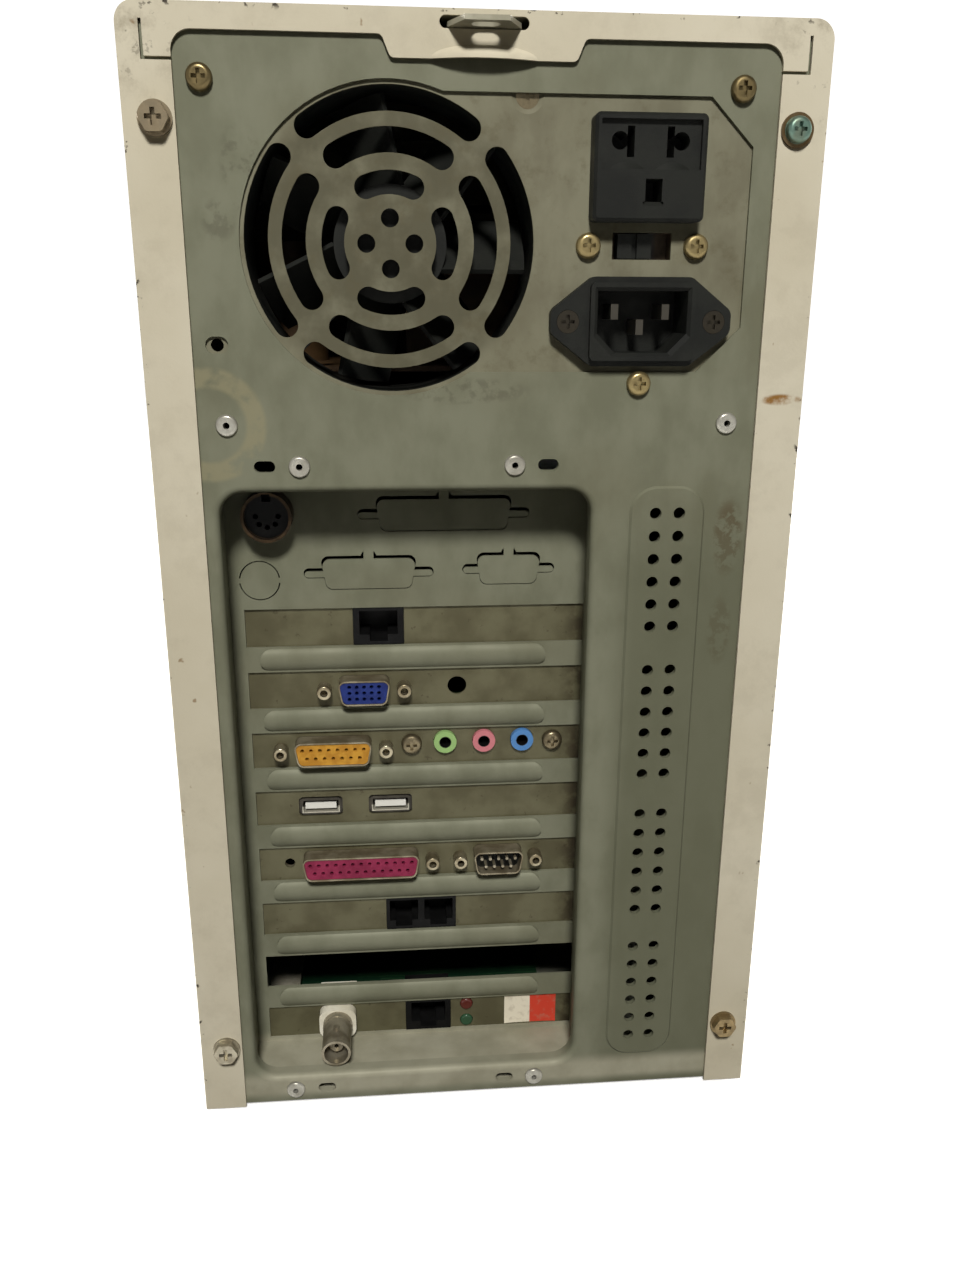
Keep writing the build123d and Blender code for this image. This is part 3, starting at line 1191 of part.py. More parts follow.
def on_processor(shape, low, depth):
    """Fan piece made along Z, turned so that its open end faces away from the board."""
    y, z = CPU_PLACE
    return Pos(low + depth / 2, y, z) * Rot(0, 90, 0) * shape


def cpu_fan_frame():
    shape = fan_body(CPU_W, CPU_FAN_T, CPU_FAN_BORE_R, CPU_FAN_HUB_R, CPU_FAN_PIN_L, CPU_FAN_HOLE,
                     CPU_FAN_STRUT)
    return on_processor(shape, CPU_FAN_X, CPU_FAN_T)


def cpu_fan_rotor():
    wheel = fan_blades(CPU_FAN_HUB_R, CPU_FAN_TIP_R, CPU_WHEEL_T, CPU_FAN_PIN_L, CPU_BLADE_T)
    return on_processor(wheel, CPU_FAN_X + CPU_FAN_STRUT + RUN_GAP, CPU_WHEEL_T)


def board_chips():
    """Chip packages: bridge chips and firmware on the board, and one on each card."""
    top = BOARD_TOP_X
    y, z = CPU_PLACE
    beside = y - (CPU_W + CPU_SOCKET_Y + CHIP_W) / 2 - CHIP_GAP
    by_header = HEADER_Y + (HEADER_W + CHIP_W) / 2 + CHIP_GAP
    group = [block((top, top + CHIP_T), span(beside, CHIP_W), span(z, CHIP_W)),
             block((top, top + CHIP_T), span(by_header, CHIP_W), span(HEADER_Z - HEADER_L / 4, CHIP_W)),
             block((top, top + CHIP_T), span(SOCKET_YS[0] + FIRMWARE_L, FIRMWARE_L),
                   span(HEADER_Z + HEADER_L / 2, FIRMWARE_W))]
    for number, length in CARD_LENGTHS.items():
        level = socket_z(number) + CARD_T / 2
        x, y = span(PSU_X + CARD_CHIP_X, CARD_CHIP_W), span(CARD_Y + length * 0.62, CARD_CHIP_W)
        group.append(block(x, y, (level, level + CARD_CHIP_T)))
    return group


def keyboard_socket():
    """Round keyboard socket on the board's rear edge, standing out of the slot plate."""
    x, z = key_place()
    mouth = FLOOR - KEY_PROUD
    body_y = (BOARD_Y, BOARD_Y + KEY_BODY_D)
    socket = block((BOARD_TOP_X, BOARD_TOP_X + KEY_BODY_W + 2 * KEY_RIM), body_y, span(z, KEY_BODY_W))
    socket += upright(Pos(x, z) * Circle(KEY_R), mouth, BOARD_Y)
    socket -= upright(Pos(x, z) * Circle(KEY_R - KEY_RIM), mouth, mouth + KEY_FACE_IN)
    for turn in range(0, 225, 45):
        spot = (x + KEY_PIN_RING * cos(radians(turn)), z - KEY_PIN_RING * sin(radians(turn)))
        socket -= upright(Pos(*spot) * Circle(KEY_PIN_R), mouth, FLOOR)
    return socket - upright(Pos(x, z + KEY_R - 2 * KEY_RIM) * Rectangle(KEY_NOTCH, KEY_NOTCH), mouth, FLOOR)


# Cards, brackets and ports

def post_places(number, x, half):
    """Centres of the two screw posts of a port."""
    return [(PSU_X + x - half, slot_z(number)), (PSU_X + x + half, slot_z(number))]


PORTS = {"video": (2, VIDEO_X, VIDEO_W, VIDEO_POST), "game": (3, GAME_X, GAME_W, GAME_POST),
         "parallel": (5, PARALLEL_X, PARALLEL_W, PARALLEL_POST),
         "serial": (5, SERIAL_X, SERIAL_W, SERIAL_POST)}
POST_HOLES = [place for number, x, _, half in PORTS.values() for place in post_places(number, x, half)]
EMPTY_POST = post_places(5, PARALLEL_X, PARALLEL_POST)[0]
CARD_SCREWS = [(PSU_X + x, slot_z(3) + CARD_SCREW_RISE) for x in CARD_SCREW_XS]
SPARE_PORT_HOLE = (PSU_X + SPARE_PORT_X, slot_z(2))


def port_windows(number):
    """Openings of one bracket, for what passes through it."""
    z = slot_z(number)
    shapes = [Pos(PSU_X + x, z) * d_outline(w + 2 * SEAT_GAP, DSUB_H + 2 * SEAT_GAP)
              for slot, x, w, _ in PORTS.values() if slot == number]
    shapes += [Pos(x, height) * Circle(SCREW_HOLE_R) for x, height in POST_HOLES if height == z]
    tall = CABLE_JACK_H + 2 * SEAT_GAP
    if number in NETWORK_XS:
        shapes.append(Pos(PSU_X + NETWORK_XS[number], z) * Rectangle(CABLE_JACK_W + 2 * SEAT_GAP, tall))
    if number == 2:
        shapes.append(Pos(*SPARE_PORT_HOLE) * Circle(SPARE_PORT_R))
    if number == 3:
        shapes += [Pos(PSU_X + x, z + JACK_RISE) * Circle(JACK_R + SEAT_GAP) for x in JACK_XS]
        shapes += [Pos(*place) * Circle(SCREW_HOLE_R) for place in CARD_SCREWS]
    if number == 4:
        window = RectangleRounded(USB_W + 2 * USB_GAP, USB_H + 2 * USB_GAP, USB_R)
        shapes += [Pos(PSU_X + x, z) * window for x in USB_XS]
    if number == 6:
        shapes.append(Pos(PSU_X + PHONE_X, z) * Rectangle(PHONE_W + 2 * SEAT_GAP, tall))
    if number == 8:
        base = RectangleRounded(COAX_BASE_W + 2 * SEAT_GAP, COAX_BASE_H + 2 * SEAT_GAP, COAX_BASE_R)
        shapes.append(Pos(PSU_X + COAX_X, z) * base)
        lamp = Circle(LIGHT_R + SEAT_GAP)
        shapes += [Pos(PSU_X + LIGHT_X, z + rise) * lamp for rise in (-LIGHT_RISE, LIGHT_RISE)]
    return shapes


BRACKET_SLOTS = (1, 2, 3, 4, 5, 6, 8)
TAB_X = PAN_R + SHEET + SEAT_GAP


def bracket(number):
    """Card bracket: a strip behind its slot, folded back along the slot pan's right wall."""
    z = slot_z(number)
    left = PSU_X - BRACKET_LEFT
    toe = BRACKET_W / 4
    strip = poly((left, z - toe), (left + toe, z - BRACKET_W / 2), (TAB_X + BRACKET_T, z - BRACKET_W / 2),
                    (TAB_X + BRACKET_T, z + BRACKET_W / 2), (left + toe, z + BRACKET_W / 2), (left, z + toe))
    shape = upright(strip, BRACKET_Y, BRACKET_Y + BRACKET_T)
    shape += block((TAB_X, TAB_X + BRACKET_T), (BRACKET_Y - TAB_D, BRACKET_Y), span(z, BRACKET_W))
    shape -= [upright(window, BRACKET_Y, BRACKET_Y + BRACKET_T) for window in port_windows(number)]
    hole = Pos(BRACKET_Y - SHEET - TAB_D / 2, z) * Circle(SCREW_HOLE_R)
    return shape - sideways(hole, TAB_X, TAB_X + BRACKET_T)


def bracket_screws():
    """Screws that hold each bracket's tab to the slot pan."""
    seat = TAB_X + BRACKET_T
    return [Pos(seat, BRACKET_Y - SHEET - TAB_D / 2, slot_z(k)) * Rot(0, 0, 90) * cross_screw(BRACKET_SCREW_L)
            for k in BRACKET_SLOTS]


def card_board(number):
    """Circuit board of a card, with the edge that stands in its socket."""
    z = span(socket_z(number), CARD_T)
    near, far = CARD_Y, CARD_Y + CARD_LENGTHS[number]
    low = BOARD_TOP_X + SOCKET_H + RUN_GAP
    card = block((low, PSU_X + CARD_RIGHT), (near, far), z)
    finger = (SOCKET_YS[0] + CARD_FINGER_Y + RUN_GAP, min(SOCKET_YS[1] - CARD_FINGER_Y - RUN_GAP, far))
    return card + block((BOARD_TOP_X + SOCKET_H - GROOVE_D + RUN_GAP, low), finger, z)


PORT_FACE = BRACKET_Y - DSUB_PROUD
PORT_SEAT = BRACKET_Y + BRACKET_T


def port_shell(number, x, width, half):
    """Metal shell of a D-shaped port, with its flange behind the bracket."""
    z = slot_z(number)
    outer = d_outline(width, DSUB_H)
    inner = d_outline(width - 2 * DSUB_WALL, DSUB_H - 2 * DSUB_WALL, radius=DSUB_R - DSUB_WALL)
    flange = RectangleRounded(2 * half + 2 * POST_R, DSUB_FLANGE_H, DSUB_R)
    shell = upright(outer, PORT_FACE, PORT_SEAT) + upright(flange, PORT_SEAT, PORT_SEAT + DSUB_FLANGE_T)
    can = d_outline(width + DSUB_CAN_OVER, DSUB_H + DSUB_CAN_OVER)
    shell += upright(can, PORT_SEAT, PORT_SEAT + DSUB_CAN_D)
    shell -= upright(inner, PORT_FACE, PORT_SEAT + DSUB_FLANGE_T)
    shell -= holes([(-half, 0), (half, 0)], SCREW_HOLE_R, PORT_SEAT, PORT_SEAT + DSUB_FLANGE_T)
    return Pos(PSU_X + x, 0, z) * shell


def pin_rows(counts, pitch, row_pitch):
    """Pin places of a port, row by row from the top."""
    places = []
    for row, count in enumerate(counts):
        z = ((len(counts) - 1) / 2 - row) * row_pitch
        places += [((k - (count - 1) / 2) * pitch, z) for k in range(count)]
    return places


def port_insert(number, x, width, inset, counts, pitch, row_pitch, sockets=True):
    """Coloured plastic inside a port's shell, with its pin holes."""
    wall = DSUB_WALL + SEAT_GAP / 2
    shape = d_outline(width - 2 * wall, DSUB_H - 2 * wall, radius=DSUB_R - wall)
    insert = upright(shape, PORT_FACE + inset, PORT_SEAT + DSUB_FLANGE_T)
    if sockets:
        bottom = PORT_FACE + inset + PIN_HOLE_D
        insert -= holes(pin_rows(counts, pitch, row_pitch), PIN_HOLE_R, PORT_FACE, bottom)
    return Pos(PSU_X + x, 0, slot_z(number)) * insert


def serial_pins():
    group = []
    for x, z in pin_rows((5, 4), PORT_PITCH, PORT_ROW):
        spot = Pos(PSU_X + SERIAL_X + x, slot_z(5) + z) * Circle(PORT_PIN_R)
        group.append(upright(spot, PORT_FACE + DSUB_WALL, PORT_FACE + DSUB_RECESS))
    return group


def jack_posts():
    """Round posts that hold the ports; one is missing beside the parallel port."""
    group = []
    for x, z in POST_HOLES:
        if (x, z) != EMPTY_POST:
            post = upright(Circle(POST_R), BRACKET_Y - POST_L, BRACKET_Y)
            post = fillet(post.edges().group_by(Axis.Y)[0], POST_EDGE)
            post += upright(Circle(SHANK_R), BRACKET_Y, PORT_SEAT + DSUB_FLANGE_T)
            bore = upright(Circle(POST_BORE_R), BRACKET_Y - POST_L, BRACKET_Y)
            group.append(Pos(x, 0, z) * (post - bore))
    return group


def audio_jack(x):
    z = slot_z(3) + JACK_RISE
    level = socket_z(3) + CARD_T / 2
    face = BRACKET_Y - JACK_PROUD
    jack = upright(Pos(PSU_X + x, z) * Circle(JACK_R), face, PORT_SEAT)
    jack += block(span(PSU_X + x, JACK_BODY_W), (PORT_SEAT, PORT_SEAT + JACK_BODY_D), (level, z + JACK_R))
    return jack - upright(Pos(PSU_X + x, z) * Circle(JACK_BORE_R), face, PORT_SEAT + JACK_BODY_D / 2)


def cable_jack(number, x, width, mouths):
    """Moulded jack with one or more square mouths, each with a notch for its plug's latch."""
    z = slot_z(number)
    level = socket_z(number) + CARD_T / 2
    face = FLOOR + SHEET / 2
    jack = block(span(PSU_X + x, width), (face, PORT_SEAT), span(z, CABLE_JACK_H))
    jack += block(span(PSU_X + x, width), (PORT_SEAT, face + CABLE_JACK_D), (level, z + CABLE_JACK_H / 2))
    for shift, mouth in mouths:
        latch = Pos(0, -(CABLE_MOUTH_H + LATCH_H) / 2) * Rectangle(LATCH_W, LATCH_H)
        hole = Rectangle(mouth, CABLE_MOUTH_H) + latch
        place = Pos(PSU_X + x + shift, z + LATCH_H / 2)
        jack -= upright(place * hole, face, face + CABLE_MOUTH_D)
    return jack


def usb_socket(x):
    """Metal shell with a tongue, seated behind its bracket by a flange."""
    middle = Pos(PSU_X + x, slot_z(4))
    face, back = BRACKET_Y, BRACKET_Y + USB_D
    shell = upright(middle * RectangleRounded(USB_W, USB_H, USB_R), face, back)
    flange = Rectangle(USB_W + 2 * USB_FLANGE, USB_H + 2 * USB_FLANGE)
    shell += upright(middle * flange, PORT_SEAT, PORT_SEAT + USB_FLANGE_T)
    mouth = RectangleRounded(USB_W - 2 * USB_WALL, USB_H - 2 * USB_WALL, USB_R - USB_WALL)
    shell -= upright(middle * mouth, face, back - USB_WALL)
    return shell + upright(middle * Rectangle(USB_TONGUE_W, USB_TONGUE_H), face + USB_WALL / 2, back)


def coax_base():
    z = slot_z(8)
    x = span(PSU_X + COAX_X, COAX_BASE_W)
    level = socket_z(8) + CARD_T / 2
    face = Pos(PSU_X + COAX_X, z) * RectangleRounded(COAX_BASE_W, COAX_BASE_H, COAX_BASE_R)
    front = upright(face, BRACKET_Y - COAX_BASE_PROUD, PORT_SEAT)
    return front + block(x, (PORT_SEAT, PORT_SEAT + COAX_BASE_D), (level, z + COAX_BASE_H / 2))


def coax_socket():
    """Bayonet barrel with its two lugs, insulator and centre contact."""
    foot = BRACKET_Y - COAX_BASE_PROUD
    tip = foot - COAX_L
    barrel = upright(Circle(COAX_R), tip, foot) - upright(Circle(COAX_BORE_R), tip, tip + COAX_BORE_D)
    barrel += upright(Circle(COAX_CORE_R) - Circle(COAX_CORE_R / 3), tip + COAX_CORE_IN, tip + COAX_BORE_D)
    barrel += upright(Circle(COAX_R + COAX_COLLAR), foot - COAX_COLLAR_L, foot)
    root = (COAX_BORE_R + COAX_R) / 2
    lug = flat(Pos(0, tip + COAX_LUG_IN) * Circle(COAX_LUG_R), root, COAX_R + COAX_LUG_OUT)
    barrel += lug + Rot(0, 180, 0) * lug
    return Pos(PSU_X + COAX_X, 0, slot_z(8)) * barrel


def link_lights():
    """Two lamps on the lowest card."""
    group = []
    for rise in (-LIGHT_RISE, LIGHT_RISE):
        place = Pos(PSU_X + LIGHT_X, slot_z(8) + rise)
        lamp = upright(place * Circle(LIGHT_R), BRACKET_Y - LIGHT_PROUD, PORT_SEAT + LIGHT_BODY_D)
        group.append(fillet(lamp.edges().group_by(Axis.Y)[0], LIGHT_PROUD * 0.9))
    return group


# Drives and front

def faceplate(width, height, z, x=0.0):
    return block(span(x, width), (FACEPLATE_BACK, FACEPLATE_BACK + FACEPLATE_T), span(z, height))


TRAY_Z = BAY_ZS[0] + TRAY_RISE
TRAY_FACE = FACEPLATE_BACK + FACEPLATE_T
TRAY_FRONT_W = TRAY_W + 2 * TRAY_LAP
TRAY_FRONT_H = TRAY_H + TRAY_LAP
EJECT_PLACE = (EJECT_X, BAY_ZS[0] - EJECT_DROP)
RELEASE_PLACE = (DISK_X + RELEASE_X, DISK_ZS[0] - RELEASE_DROP)


def cd_drive():
    """Compact disc drive: steel body and faceplate with the tray's tunnel through them."""
    body_y = (FACEPLATE_BACK - DRIVE_D, FACEPLATE_BACK)
    drive = block(span(0, BAY_W), body_y, span(BAY_ZS[0], BAY_H))
    drive += faceplate(BAY_FACE_W, BAY_FACE_H, BAY_ZS[0])
    tunnel = (TRAY_FACE - TRAY_L - RUN_GAP - TRAY_FRONT_T, TRAY_FACE)
    drive -= block(span(0, TRAY_W + 2 * RUN_GAP), tunnel, span(TRAY_Z, TRAY_H + 2 * RUN_GAP))
    seat = (TRAY_FACE - TRAY_FRONT_T - RUN_GAP, TRAY_FACE)
    drive -= block(span(0, TRAY_FRONT_W + 2 * RUN_GAP), seat, span(TRAY_Z, TRAY_FRONT_H + 2 * RUN_GAP))
    button = (TRAY_FACE - EJECT_L - EJECT_TRAVEL, TRAY_FACE)
    drive -= block(span(EJECT_X, EJECT_W + 2 * RUN_GAP), button, span(EJECT_PLACE[1], EJECT_H + 2 * RUN_GAP))
    hollow = (body_y[0] + SHEET, FACEPLATE_BACK - EJECT_L)
    below = (BAY_ZS[0] - BAY_H / 2 + SHEET, TRAY_Z - TRAY_H / 2 - RUN_GAP - SHEET)
    return drive - block(span(0, BAY_W - 2 * SHEET), hollow, below)


def cd_tray():
    """Sliding tray with the disc's well and the tray's front."""
    back = TRAY_FACE - TRAY_FRONT_T
    tray = block(span(0, TRAY_W), (back - TRAY_L, back), span(TRAY_Z, TRAY_H))
    tray += block(span(0, TRAY_FRONT_W), (back, TRAY_FACE), span(TRAY_Z, TRAY_FRONT_H))
    top = TRAY_Z + TRAY_H / 2
    middle = Pos(0, back - DISC_R - TRAY_FRONT_T)
    tray -= flat(middle * Circle(DISC_R), top - DISC_D, top)
    slot = middle * Circle(DISC_HOLE_R) + middle * Pos(0, -DISC_R / 2) * Rectangle(2 * DISC_HOLE_R, DISC_R)
    return tray - flat(slot, TRAY_Z - TRAY_H / 2, top)


def push_button(x, z, width, height, length, proud, face):
    """Rectangular push button that stands proud of a face."""
    button = block(span(x, width), (face + proud - length, face + proud), span(z, height))
    return fillet(button.faces().sort_by(Axis.Y)[-1].edges(), height / 6)


def floppy_drive():
    body_y = (FACEPLATE_BACK - DISK_D, FACEPLATE_BACK)
    z = DISK_ZS[0]
    drive = block(span(DISK_X, DISK_W), body_y, span(z, DISK_H)) + faceplate(DISK_W, DISK_H, z, DISK_X)
    mouth = (TRAY_FACE - SLOT_MOUTH_D, TRAY_FACE)
    drive -= block(span(DISK_X, SLOT_MOUTH_W), mouth, span(z + SLOT_RISE, SLOT_MOUTH_H))
    thumb = Pos(DISK_X, TRAY_FACE + THUMB_OUT) * Circle(THUMB_R)
    drive -= flat(thumb, z + SLOT_RISE - SLOT_MOUTH_H, z + SLOT_RISE + SLOT_MOUTH_H)
    button = (TRAY_FACE + RELEASE_PROUD - RELEASE_L - RELEASE_TRAVEL - RUN_GAP, TRAY_FACE)
    room = (RELEASE_W + 2 * RUN_GAP, RELEASE_H + 2 * RUN_GAP)
    return drive - block(span(RELEASE_PLACE[0], room[0]), button, span(RELEASE_PLACE[1], room[1]))


def hard_disk():
    """Sealed disk drive: cast base, lid and circuit board recess."""
    z = DISK_ZS[1]
    y = (FRONT - SHEET - RUN_GAP - DISK_D, FRONT - SHEET - RUN_GAP)
    disk = block(span(DISK_X, DISK_W), y, span(z, DISK_H))
    above = (z + DISK_H / 2 - LID_H, z + DISK_H / 2)
    lid = block(grown(span(DISK_X, DISK_W), -LID_SIDE), grown(y, -LID_END), above)
    disk -= block(span(DISK_X, DISK_W), y, above) - lid
    return fillet(disk.edges().filter_by(Axis.Z).group_by(Axis.Y)[0], DISK_CORNER_R)


POWER = (POWER_X, POWER_Z)
RESET = (RESET_X, POWER_Z)
LAMPS = tuple((x, POWER_Z) for x in LAMP_XS)


def front_bezel():
    """Hollow moulded front with openings for the drives, buttons, lamps and air."""
    height = CASE_TOP - COVER_CLEAR
    middle = Pos(0, COVER_CLEAR + height / 2)
    shell = upright(middle * RectangleRounded(2 * HALF_W, height, COVER_R), FRONT, FACE)
    shell = fillet(shell.faces().sort_by(Axis.Y)[-1].edges(), BEZEL_R - COVER_R / 2)
    inner = RectangleRounded(2 * (HALF_W - BEZEL_WALL), height - 2 * BEZEL_WALL, COVER_R - BEZEL_WALL / 2)
    shell -= upright(middle * inner, FRONT, FACE - BEZEL_WALL)
    wall = (FRONT, FACE)
    bays = (BAY_ZS[1] - BAY_FACE_H / 2 - RUN_GAP, BAY_ZS[0] + BAY_FACE_H / 2 + RUN_GAP)
    shell -= block(span(0, BAY_FACE_W + 2 * RUN_GAP), wall, bays)
    shell -= block(span(DISK_X, DISK_W + 2 * RUN_GAP), wall, span(DISK_ZS[0], DISK_H + 2 * RUN_GAP))
    for k in range(LOUVRE_COUNT):
        z = LOUVRE_LOW + k * LOUVRE_PITCH
        shell -= upright(Pos(0, z) * SlotOverall(LOUVRE_W, LOUVRE_H), FACE - BEZEL_WALL, FACE)
    for (x, z), radius in ((POWER, POWER_R), (RESET, RESET_R)):
        sleeve = Pos(x, z) * Circle(radius + RUN_GAP + SLEEVE_T)
        shell += upright(sleeve, FACE - SLEEVE_L, FACE - BEZEL_WALL)
        shell -= upright(Pos(x, z) * Circle(radius + RUN_GAP), FACE - SLEEVE_L, FACE)
    return shell - holes(LAMPS, LAMP_R + SEAT_GAP, FACE - BEZEL_WALL, FACE)


def bay_cover():
    """Blank over the unused bay, with its two clips."""
    blank = faceplate(BAY_FACE_W, BAY_FACE_H - RUN_GAP, BAY_ZS[1])
    for side in (-1, 1):
        x = sorted((side * (BAY_W / 2 - 2 * SHEET), side * BAY_W / 2))
        blank += block(x, (FRONT - CLIP_IN, FACEPLATE_BACK), span(BAY_ZS[1], BAY_H / 2))
    return blank


def round_button(place, radius, proud):
    """Round button in its sleeve, a little short of the front's face."""
    face = FACE - proud
    button = upright(Pos(*place) * Circle(radius), FACE - SLEEVE_L, face)
    return fillet(button.edges().group_by(Axis.Y)[-1], radius / 6)


STEM_END = FRONT + SWITCH_D - STEM_IN


def power_button():
    stem = upright(Pos(*POWER) * Circle(POWER_STEM_R), STEM_END, FACE - SLEEVE_L)
    return round_button(POWER, POWER_R, RUN_GAP) + stem


def power_switch():
    """Mains switch behind the power button, on the steel front."""
    x, z = POWER
    switch = block(span(x, SWITCH_W), (FRONT, FRONT + SWITCH_D), span(z, SWITCH_W))
    bottom = STEM_END - POWER_TRAVEL - RUN_GAP
    bore = upright(Pos(x, z) * Circle(POWER_STEM_R + RUN_GAP), bottom, FRONT + SWITCH_D)
    return switch - bore


def front_lamps():
    return [upright(Pos(*place) * Circle(LAMP_R), FACE - LAMP_L, FACE) for place in LAMPS]


DISK_BACK = FRONT - SHEET - RUN_GAP - DISK_D
BAY_BACK = FACEPLATE_BACK - DRIVE_D
RIBBON_Y = DISK_BACK - PLUG_H          # cable's face against the hard disk's plug
RIBBON_X = span(DISK_X, RIBBON_W)
HEADER_TOP = BOARD_TOP_X + HEADER_H
HEADER_Y = RIBBON_Y - RIBBON_T * 1.5


def drive_header():
    """Board header for the drive cable."""
    return block((BOARD_TOP_X, HEADER_TOP), span(HEADER_Y, HEADER_W), span(HEADER_Z, HEADER_L))


def drive_ribbon():
    """Flat cable from the board, folded once, up past the hard disk to the disc drive; three plugs."""
    disk_z, bay_z = DISK_PLUG_Z, BAY_ZS[0] - BAY_H / 4
    bay_y = BAY_BACK - PLUG_H
    low, high = span(HEADER_Z, RIBBON_W)
    left, right = RIBBON_X
    turn = low + RIBBON_W + PLUG_H
    strip = poly((left, low), (right, high), (right, turn), (left, turn))
    drop = upright(strip, RIBBON_Y - RIBBON_T, RIBBON_Y)
    run = poly((left, low), (right, high), (HEADER_TOP + PLUG_H, high), (HEADER_TOP + PLUG_H, low))
    cable = drop + upright(run, RIBBON_Y - 2 * RIBBON_T, RIBBON_Y - RIBBON_T)
    path = FilletPolyline((RIBBON_Y, turn), (RIBBON_Y, disk_z + PLUG_H), (bay_y, disk_z + 8 * PLUG_H),
                          (bay_y, bay_z + PLUG_H / 2), radius=PLUG_H)
    cable += sideways(offset(path, RIBBON_T / 2).moved(Location((-RIBBON_T / 2, 0))), left, right)
    plug_x = span(DISK_X, HEADER_L)
    ends = ((DISK_BACK, disk_z), (BAY_BACK, bay_z))
    plugs = [block(plug_x, (y - PLUG_H, y), span(z, PLUG_H)) for y, z in ends]
    plugs.append(block((HEADER_TOP, HEADER_TOP + PLUG_H), span(HEADER_Y, HEADER_W),
                       span(HEADER_Z, HEADER_L)))
    return [cable] + plugs


# Written pieces

write("base_pan", base_pan())
write("rear_panel", rear_panel())
write("slot_plate", slot_plate())
write("lock_tongue", lock_tongue())
write("front_plate", front_plate())
write("board_tray", board_tray())
write("top_rails", *top_rails())
write("drive_cage", drive_cage())
write("chassis_rivets", *rivets(SHELF_RIVETS + PAN_RIVETS))
write("feet", *feet())
write("cover", cover())
write("cover_screws", *cover_screws())

write("psu_case", supply_case())
write("psu_lid", supply_lid())
write("psu_board", *supply_board())
write("fan_frame", fan_frame())
write("fan_rotor", fan_rotor())
write("mains_outlet", mains_outlet())
write("mains_inlet", mains_inlet())
write("selector_body", selector_body())
write("selector_slider", selector_slider())
write("case_screws", *screws(PSU_HOLES, BACK, SHANK_L), *screws(SOCKET_SCREWS[2:], INSIDE, SHANK_L),
      *sunk_screws(), *screws(CARD_SCREWS, BRACKET_Y, BRACKET_SCREW_L), *bracket_screws())
write("port_pins", *inlet_pins(), *serial_pins())

write("motherboard", motherboard())
write("board_standoffs", *board_standoffs())
write("board_sockets", *board_sockets(), drive_header())
write("board_chips", *board_chips())
write("memory_modules", *memory_modules())
write("processor", processor())
write("heat_sink", heat_sink())
write("cpu_fan_frame", cpu_fan_frame())
write("cpu_fan_rotor", cpu_fan_rotor())
write("keyboard_socket", keyboard_socket())

write("slot_brackets", *[bracket(number) for number in BRACKET_SLOTS])
write("card_boards", *[card_board(number) for number in CARD_LENGTHS])
write("port_shells", *[port_shell(*port) for port in PORTS.values()])
write("video_insert", port_insert(2, VIDEO_X, VIDEO_W, DSUB_INSET, (5, 5, 5), VIDEO_PITCH, VIDEO_ROW))
write("game_insert", port_insert(3, GAME_X, GAME_W, DSUB_INSET, (8, 7), PORT_PITCH, PORT_ROW))
write("parallel_insert", port_insert(5, PARALLEL_X, PARALLEL_W, DSUB_INSET, (13, 12), PORT_PITCH, PORT_ROW))
write("serial_insert", port_insert(5, SERIAL_X, SERIAL_W, DSUB_RECESS, (), 0, 0, sockets=False))
write("jack_posts", *jack_posts())
write("audio_jacks", *[audio_jack(x) for x in JACK_XS])
write("network_jacks", *[cable_jack(k, x, CABLE_JACK_W, ((0, CABLE_MOUTH_W),))
                         for k, x in NETWORK_XS.items()])
write("phone_jacks", cable_jack(6, PHONE_X, PHONE_W,
                                [(side * PHONE_W / 4, PHONE_MOUTH_W) for side in (-1, 1)]))
write("usb_sockets", *[usb_socket(x) for x in USB_XS])
write("coax_base", coax_base())
write("coax_socket", coax_socket())
write("status_lights", *link_lights(), *front_lamps())

write("front_bezel", front_bezel())
write("bay_cover", bay_cover())
write("cd_drive", cd_drive())
write("cd_tray", cd_tray())
write("cd_eject_button", push_button(*EJECT_PLACE, EJECT_W, EJECT_H, EJECT_L, EJECT_PROUD, TRAY_FACE))
write("floppy_drive", floppy_drive())
write("floppy_eject_button",
      push_button(*RELEASE_PLACE, RELEASE_W, RELEASE_H, RELEASE_L, RELEASE_PROUD, TRAY_FACE))
write("hard_disk", hard_disk())
write("drive_ribbon", *drive_ribbon())
write("power_button", power_button())
write("power_switch", power_switch())
write("reset_button", round_button(RESET, RESET_R, RUN_GAP))
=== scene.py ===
# %% [markdown]
# # A tower computer seen from behind
# The solids come from the part's CAD model. This lesson gives them their finishes, sets the camera where
# the photograph was taken from, and adds two thin sheets to them.

# %% Load the frame
import json

import bpy
import numpy as np
from mathutils import Matrix, Vector


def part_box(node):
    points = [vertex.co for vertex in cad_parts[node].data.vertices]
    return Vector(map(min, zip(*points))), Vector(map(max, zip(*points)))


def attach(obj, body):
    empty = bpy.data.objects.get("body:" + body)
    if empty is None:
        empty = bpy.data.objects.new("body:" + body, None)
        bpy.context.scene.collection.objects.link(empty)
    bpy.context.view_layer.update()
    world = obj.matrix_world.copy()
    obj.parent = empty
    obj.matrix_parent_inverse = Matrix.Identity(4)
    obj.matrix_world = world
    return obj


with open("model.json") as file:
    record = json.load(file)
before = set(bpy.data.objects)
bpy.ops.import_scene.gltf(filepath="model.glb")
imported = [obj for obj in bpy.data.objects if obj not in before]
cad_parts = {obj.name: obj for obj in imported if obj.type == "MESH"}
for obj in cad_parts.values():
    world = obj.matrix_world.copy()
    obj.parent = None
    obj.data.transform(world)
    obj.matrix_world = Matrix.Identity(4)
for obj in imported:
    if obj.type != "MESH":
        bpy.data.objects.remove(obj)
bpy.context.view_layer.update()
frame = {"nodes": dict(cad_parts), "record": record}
MM = 0.001

# %% [markdown]
# The rear face was measured from the power supply's upper left screw hole, which lies 6 mm inside the
# supply's box. The same starting point is used here, so that a stain or a label can be placed with the
# numbers read off the photograph.

